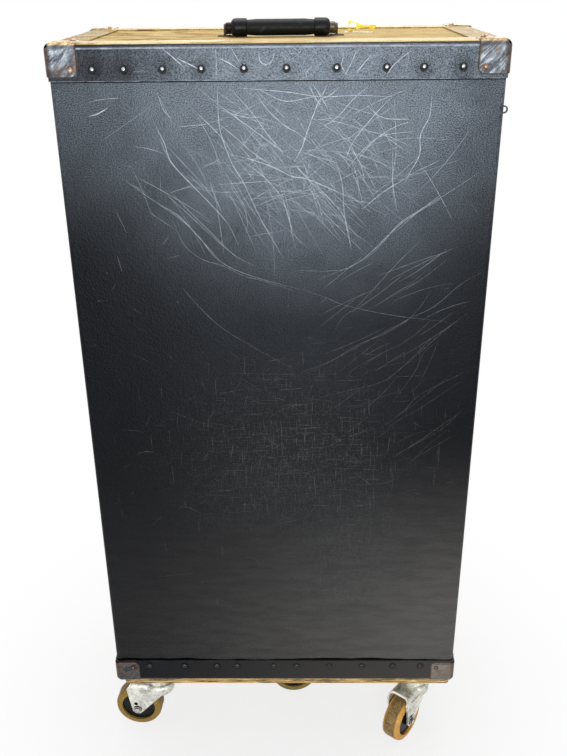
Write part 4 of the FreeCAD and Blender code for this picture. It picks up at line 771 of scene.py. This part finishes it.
SPECKS = """
4: -140.2,802.4 -139.5,802.8 -138.9,803.3
3: -117.4,740.1 -116.7,740.5 -116.1,741.0
4.5: -109.6,727.8 -108.9,728.2 -108.3,728.7
4: -155.9,706.5 -155.2,706.9 -154.6,707.4
5: -43.1,247.6 -42.4,248.0 -41.8,248.5
2.5: -180.2,224.7 -179.5,225.1 -178.9,225.6
3: -131.6,241.4 -130.9,241.8 -130.3,242.3
2.5: -173.3,201.4 -172.6,201.8 -172.0,202.3
3: -73.5,212.0 -72.8,212.4 -72.2,212.9
3: -63.5,218.3 -62.8,218.7 -62.2,219.2
2.5: -80.4,203.5 -79.7,203.9 -79.1,204.4
3: 158.0,186.5 158.7,186.9 159.3,187.4
2.5: 163.0,184.3 163.7,184.7 164.3,185.2
2.5: 254.7,173.6 255.4,174.0 256.0,174.5
2.5: 10.1,795.8 10.8,796.2 11.4,796.7
2: -121.7,684.5 -121.0,684.9 -120.4,685.4
2: -108.2,668.6 -107.5,669.0 -106.9,669.5
2: 190.0,209.9 190.7,210.3 191.3,210.8
2: 29.1,603.1 29.8,603.5 30.4,604.0
2: -230.1,685.0 -229.4,685.4 -228.8,685.9
"""
BAND_SCRATCHES = """
1.1: -139,1129 -127,1119 -114,1107
1.3: -121,1117 -108,1111 -94,1104
1.3: -70,1117 -58,1111 -46,1103
0.8: -56,1129 -49,1118 -44,1108
0.7: -74,1128 -74,1110 -75,1093
0.9: -22,1127 -21,1114 -14,1109 -6,1114 -3,1123
1.2: 16,1130 22,1127 28,1122
0.9: 77,1128 81,1119 78,1108 86,1095
0.9: 96,1124 90,1110 82,1095
1.1: 113,1118 104,1108 95,1097
1.1: 161,1123 143,1109 134,1097
0.9: 43,1107 37,1102 35,1094
0.6: -176,1102 -165,1103 -158,1103
0.7: 60,1122 66,1117 69,1108
0.6: 2,1124 12,1119 16,1111
"""
# How many lines are drawn at random: the front's fan, woven patch, upper strip and nicks, and on
# each other face of the front half and of the rear half.
FAN, WEAVE, BAND, NICKS, SIDE_MARKS, REAR_MARKS = 230, 460, 90, 70, 14, 26


def on_front(spot):
    return Vector((spot.x, -DEEP - PROUD, spot.y))


def on_band(spot):
    return Vector((spot.x, -DEEP - STRIP_THICK - PROUD, spot.y))


def toward(turn, long):
    return Vector((math.cos(turn), math.sin(turn))) * long


def traced_into(bm, rows, place, rng):
    """Scratches from a table, in mm on the broad face, broader towards the top."""
    for row in rows.strip().splitlines():
        share, points = row.split(":")
        points = [tuple(float(v) / 1000 for v in point.split(",")) for point in points.split()]
        wide = min(0.00074, max(0.00036, 0.0016 * points[0][1] - 0.00090))
        scratch_into(bm, points, wide * float(share), 0.5, place, rng)


def fan_into(bm, rng):
    """A bent line, mostly down to the right from the upper middle, some at the lower right."""
    start = Vector((rng.gauss(-0.01, 0.08), rng.uniform(0.93, 1.085)))
    turn, long = -0.85 + rng.gauss(0, 0.3), rng.uniform(0.02, 0.12)
    if rng.random() < 0.35:
        turn = rng.uniform(-0.3, 0.9)
    if rng.random() < 0.1:
        start = Vector((rng.uniform(0.05, 0.2), rng.uniform(0.54, 0.84)))
        turn, long = 0.6 + rng.gauss(0, 0.1), rng.uniform(0.04, 0.12)
    bend, points = rng.gauss(0, 0.07), [start]
    for _ in range(4):
        points.append(points[-1] + toward(turn, long / 4))
        turn += bend
    if all(abs(spot.x) < WIDE - 0.02 and spot.y < HIGH - STRIP - 0.004 for spot in points):
        scratch_into(bm, points, rng.uniform(0.00012, 0.00036), 0.5, on_front, rng)


def weave_into(bm, rng):
    """A short line across or upright in the middle of the face."""
    spot = Vector((rng.gauss(0.03, 0.10), rng.gauss(0.57, 0.07)))
    long = rng.uniform(0.006, 0.035)
    turn = rng.choice((0, 0, math.pi / 2, math.pi / 2, rng.uniform(0, math.pi)))
    step = toward(turn + rng.gauss(0, 0.05), long / 2)
    if abs(spot.x) + long < WIDE - 0.01:
        scratch_into(bm, (spot - step, spot, spot + step), rng.uniform(0.00014, 0.00032), 0.6,
                     on_front, rng)


def band_into(bm, rng):
    """A short sloping line on the upper strip, near its middle."""
    spot = Vector((rng.gauss(0.02, 0.07), rng.uniform(HIGH - 0.036, HIGH - 0.008)))
    turn, long = rng.choice((-0.8, 0.9)) + rng.gauss(0, 0.4), rng.uniform(0.004, 0.024)
    step = toward(turn, long / 2)
    if abs(step.y) < 0.005:
        scratch_into(bm, (spot - step, spot, spot + step), rng.uniform(0.0001, 0.00034), 0.6,
                     on_band, rng)


def nick_into(bm, rng):
    """A short line anywhere on the face."""
    spot = Vector((rng.uniform(-0.26, 0.26), rng.uniform(LOW + 0.05, HIGH - 0.05)))
    turn, long = rng.uniform(0, math.pi), rng.uniform(0.003, 0.022)
    step = toward(turn, long / 2)
    scratch_into(bm, (spot - step, spot + step * rng.uniform(0.2, 0.5), spot + step),
                 rng.uniform(0.00012, 0.00034), 0.7, on_front, rng)


def stroke_into(bm, rng, origin, across, wide):
    """A bent line on another upright face, given as its lower corner, its way across and width."""
    margin = 0.006
    origin, across = Vector(origin), Vector(across)
    start = Vector((rng.uniform(0.01, wide - 0.01), rng.uniform(0.05, TALL - 0.05)))
    turn = rng.gauss(-0.9, 0.6)
    points = [start]
    for _ in range(rng.randint(2, 6)):
        turn += rng.gauss(0, 0.16)
        spot = points[-1] + toward(turn, rng.uniform(0.008, 0.03))
        if not (margin < spot.x < wide - margin
                and STRIP + margin < spot.y < TALL - STRIP - margin):
            break
        points.append(spot)
    if len(points) > 1:
        scratch_into(bm, points, rng.uniform(0.0002, 0.00055), 0.6,
                     lambda spot: origin + across * spot.x + Vector((0, 0, spot.y)), rng)


def front_marks(material, rng):
    """All scratches of the broad front face: the traced ones, then those drawn at random."""
    bm = bmesh.new()
    for rows, place in ((SCRATCHES, on_front), (SPECKS, on_front), (BAND_SCRATCHES, on_band)):
        traced_into(bm, rows, place, rng)
    for draw, count in ((fan_into, FAN), (weave_into, WEAVE), (band_into, BAND),
                        (nick_into, NICKS)):
        for _ in range(count):
            draw(bm, rng)
    marks = piece("front_scratches", bm, material, "front_half")


def other_marks(name, body, material, rng, faces, count):
    """Fewer scratches on the faces that were handled less, count of them on each."""
    bm = bmesh.new()
    for face in faces:
        for _ in range(count):
            stroke_into(bm, rng, *face)
    marks = piece(name, bm, material, body)


# ---------------------------------------------------------------- dressing
# The treads are one amber. Their colours differ by painted light and shade: darkest on the front
# left and middle casters, brightest edges on the front right.
# name, tread, tread's edges, turn in degrees, x and y of the kingpin
CASTERS = (("front_left", (0.20, 0.115, 0.018), (0.30, 0.17, 0.03), 175, -0.2185, -0.116),
           ("front_right", (0.25, 0.14, 0.042), (0.88, 0.42, 0.07), -128, 0.2245, -0.116),
           ("rear_left", (0.24, 0.15, 0.06), (0.45, 0.24, 0.07), 113, -0.2185, 0.116),
           ("rear_right", (0.24, 0.15, 0.06), (0.45, 0.24, 0.07), 62, 0.2245, 0.116),
           ("middle", (0.15, 0.11, 0.03), (0.24, 0.17, 0.04), 4, -0.022, -0.038))


def dress(material, *names):
    for name in names:
        mesh = nodes[name].data
        if mesh.materials:
            for slot in nodes[name].material_slots:
                slot.material = material
        else:
            mesh.materials.append(material)


dress(vinyl("covering_front", 0.55), "front_covering")
dress(vinyl("covering_rear", 0.2), "rear_covering")
dress(strip_finish("binding_strip"), "front_bindings", "rear_bindings")
dress(steel_cap("cap_steel"), "front_caps", "rear_caps")
dress(wood("shell_plywood", (0.36, 0.24, 0.12), (0.52, 0.37, 0.20), (60, 60, 9)),
      "front_shell", "rear_shell")
dress(cloth("lining_cloth", (0.22, 0.155, 0.09), (0.34, 0.26, 0.165), stripe=0.022),
      "front_lining", "rear_lining")
dress(metal("valance_steel", (0.20, 0.195, 0.175), (0.36, 0.35, 0.32), (0.10, 0.07, 0.045), 0.4),
      "seam_valance")
dress(metal("hardware_brass", (0.34, 0.22, 0.07), (0.60, 0.42, 0.17), (0.10, 0.06, 0.03), 0.3),
      "rear_hinge_leaves", "front_hinge_leaves", "latch_bases", "latch_upper", "latch_lower",
      "lock_hasp", "latch_keepers")
dress(metal("pin_steel", (0.35, 0.33, 0.29), (0.6, 0.58, 0.52), (0.1, 0.07, 0.05)), "hinge_pins")
dress(leather("handle_black", (0.006, 0.0065, 0.008), (0.05, 0.052, 0.058), 0.34, 0.58, 0.2),
      "handle_grip")
dress(handle_fittings("handle_black_and_steel"), "handle_ends")
dress(metal("handle_plate_steel", (0.05, 0.035, 0.02), (0.16, 0.11, 0.055),
            (0.015, 0.011, 0.007), 0.6, metallic=0.1), "handle_plates")
dress(metal("key_gold", (0.42, 0.28, 0.015), (0.92, 0.70, 0.10), (0.06, 0.045, 0.008), 0.25, 300,
            0.65), "key_leaning")
dress(metal("key_pale", (0.62, 0.56, 0.40), (0.88, 0.84, 0.70), (0.12, 0.09, 0.04), 0.3, 420),
      "key_flat")
dress(metal("loop_wire", (0.010, 0.010, 0.011), (0.03, 0.03, 0.033), (0.006, 0.006, 0.006), 0.4,
            metallic=0.3), "wire_loop")
dress(cloth("carcass_cloth", (0.15, 0.095, 0.052), (0.22, 0.15, 0.088), 1100), "drawer_carcass")
dress(cloth("drawer_cloth", (0.20, 0.128, 0.07), (0.29, 0.20, 0.12), 1100),
      *(f"drawer_{number}" for number in (1, 2, 3, 4)))
dress(leather("pull_leather", (0.06, 0.026, 0.013), (0.17, 0.09, 0.045)),
      *(f"drawer_pull_{number}" for number in (1, 2, 3, 4)))
dress(metal("trolley_steel", (0.16, 0.155, 0.14), (0.34, 0.33, 0.30), (0.09, 0.06, 0.04), 0.34),
      "trolley_rails", "hanger_trolley", "hanger_hooks")
dress(wood("hanger_wood", (0.30, 0.16, 0.06), (0.48, 0.28, 0.12), (10, 60, 60), 0.34),
      "hanger_bars")
dress(wood("dolly_plywood", (0.34, 0.18, 0.05), (0.82, 0.52, 0.17), (7, 70, 240), 0.6, 0.0015),
      "dolly_board")
dress(zinc("zinc_plate"), "caster_plates")
dress(plastic("hub_black", (0.004, 0.004, 0.0045), (0.04, 0.037, 0.034), 0.22, 0.16),
      *(f"hub_{row[0]}" for row in CASTERS))
for name, base, edge, degrees, x, y in CASTERS:
    turn = math.radians(degrees)
    wheel = (x + TRAIL * math.cos(turn), y + TRAIL * math.sin(turn), turn)
    dress(tread_finish(f"tread_{name}_amber", base, edge, wheel), f"tread_{name}")
    dress(zinc(f"fork_{name}_zinc", wheel), f"fork_{name}")

rivets = (rivet_black("rivet_black"), rivet_copper("rivet_copper"))
rivet_heads("rear_rivet_heads", 1, 0, "trunk", "rear_rivets", *rivets)
rivet_heads("front_rivet_heads", -1, LIFT, "front_half", "front_rivets", *rivets)

scuffed, draws = scratch_grey("scratch_grey"), random.Random(SEED)
front_marks(scuffed, draws)
other_marks("front_side_scratches", "front_half", scuffed, draws, (
    ((WIDE + PROUD, -DEEP, LOW), (0, 1, 0), DEEP - SEAM),
    ((-WIDE - PROUD, -DEEP, LOW), (0, 1, 0), DEEP - SEAM)), SIDE_MARKS)
other_marks("rear_scratches", "trunk", scuffed, draws, (
    ((WIDE + PROUD, SEAM, LOW), (0, 1, 0), DEEP - SEAM),
    ((-WIDE - PROUD, SEAM, LOW), (0, 1, 0), DEEP - SEAM),
    ((-WIDE, DEEP + PROUD, LOW), (1, 0, 0), 2 * WIDE)), REAR_MARKS)


# ---------------------------------------------------------------- studio
def lamp(name, spot, target, wide, high, power, colour):
    data = bpy.data.lights.new(name, "AREA")
    data.shape, data.size, data.size_y = "RECTANGLE", wide, high
    data.energy, data.color = power, colour
    obj = bpy.data.objects.new(name, data)
    obj.location = spot
    obj.rotation_euler = (Vector(target) - Vector(spot)).to_track_quat("-Z", "Y").to_euler()
    bpy.context.scene.collection.objects.link(obj)


def seen_rays(tree):
    """1 for camera, glossy and transmission rays, which see the plain white background."""
    rays = tree.nodes.new("ShaderNodeLightPath")
    total = rays.outputs["Is Camera Ray"]
    for name in ("Is Glossy Ray", "Is Transmission Ray"):
        node = tree.nodes.new("ShaderNodeMath")
        node.operation = "MAXIMUM"
        tree.links.new(total, node.inputs[0])
        tree.links.new(rays.outputs[name], node.inputs[1])
        total = node.outputs[0]
    return total


def mix_shaders(tree, share, first, second, surface):
    mixed = tree.nodes.new("ShaderNodeMixShader")
    for start, end in ((share, mixed.inputs[0]), (first.outputs[0], mixed.inputs[1]),
                       (second.outputs[0], mixed.inputs[2]), (mixed.outputs[0], surface)):
        tree.links.new(start, end)


def backdrop():
    world = bpy.data.worlds.new("studio")
    world.use_nodes = True
    tree = world.node_tree
    tree.nodes.clear()
    out = tree.nodes.new("ShaderNodeOutputWorld")
    ambient, seen = (tree.nodes.new("ShaderNodeBackground") for _ in range(2))
    ambient.inputs["Strength"].default_value = AMBIENT
    for node in (ambient, seen):
        node.inputs["Color"].default_value = WHITE
    mix_shaders(tree, seen_rays(tree), ambient, seen, out.inputs[0])
    bpy.context.scene.world = world


def floor():
    """A pale floor that is white to the camera away from the trunk and keeps its shadow."""
    mesh = bpy.data.meshes.new("floor")
    reach = 12.0
    mesh.from_pydata([(-reach, -reach, 0), (reach, -reach, 0), (reach, reach, 0),
                      (-reach, reach, 0)], [], [(0, 1, 2, 3)])
    obj = bpy.data.objects.new("floor", mesh)
    bpy.context.scene.collection.objects.link(obj)
    f = Finish("floor_pale", Roughness=0.85, Specular_IOR_Level=0.1)
    f.set("Base Color", f.mix(f.span(f.noise(30, 3), 0.3, 0.7), (0.80, 0.80, 0.80),
                              (0.84, 0.84, 0.84)))
    tree = f.material.node_tree
    share = f.times(f.span(f.length(f.x, f.y), 0.2, 0.7, 0.78, 1.0), seen_rays(tree))
    white = f.nodes.new("ShaderNodeEmission")
    white.inputs["Color"].default_value = WHITE
    mix_shaders(tree, share, f.shader, white, f.surface)
    mesh.materials.append(f.material)


def camera(spot, angles, length, sensor):
    """The photograph's view along +Y. The angles are degrees down, to the right, and of roll."""
    pitch, yaw, roll = (math.radians(angle) for angle in angles)
    ahead = Vector((math.sin(yaw) * math.cos(pitch), math.cos(yaw) * math.cos(pitch),
                    -math.sin(pitch)))
    level = Vector((math.cos(yaw), -math.sin(yaw), 0))
    above = level.cross(ahead)
    right = math.cos(roll) * level + math.sin(roll) * above
    upward = -math.sin(roll) * level + math.cos(roll) * above
    lens = bpy.data.cameras.new("camera")
    lens.lens, lens.sensor_width = length, sensor
    eye = bpy.data.objects.new("camera", lens)
    eye.matrix_world = Matrix.LocRotScale(Vector(spot),
                                          Matrix((right, upward, -ahead)).transposed(), None)
    bpy.context.scene.collection.objects.link(eye)
    bpy.context.scene.camera = eye


backdrop()
floor()
lamp("key", (0.04, -2.6, 0.82), (0.0, 0.0, 0.8), 0.9, 0.8, 42, (0.90, 0.96, 1.0))
lamp("top", (0.0, 0.5, 3.2), (0.0, 0.0, 0.9), 2.2, 1.6, 41, (1.0, 0.97, 0.93))
lamp("back", (0.0, 3.0, 1.6), (0.0, 0.0, 0.6), 2.0, 1.6, 30, (1, 1, 1))
camera((0.0212, -1.285, 1.2192), (25.1, -0.89, -0.62), length=42.04, sensor=36)
bpy.context.scene.view_settings.view_transform = "Standard"
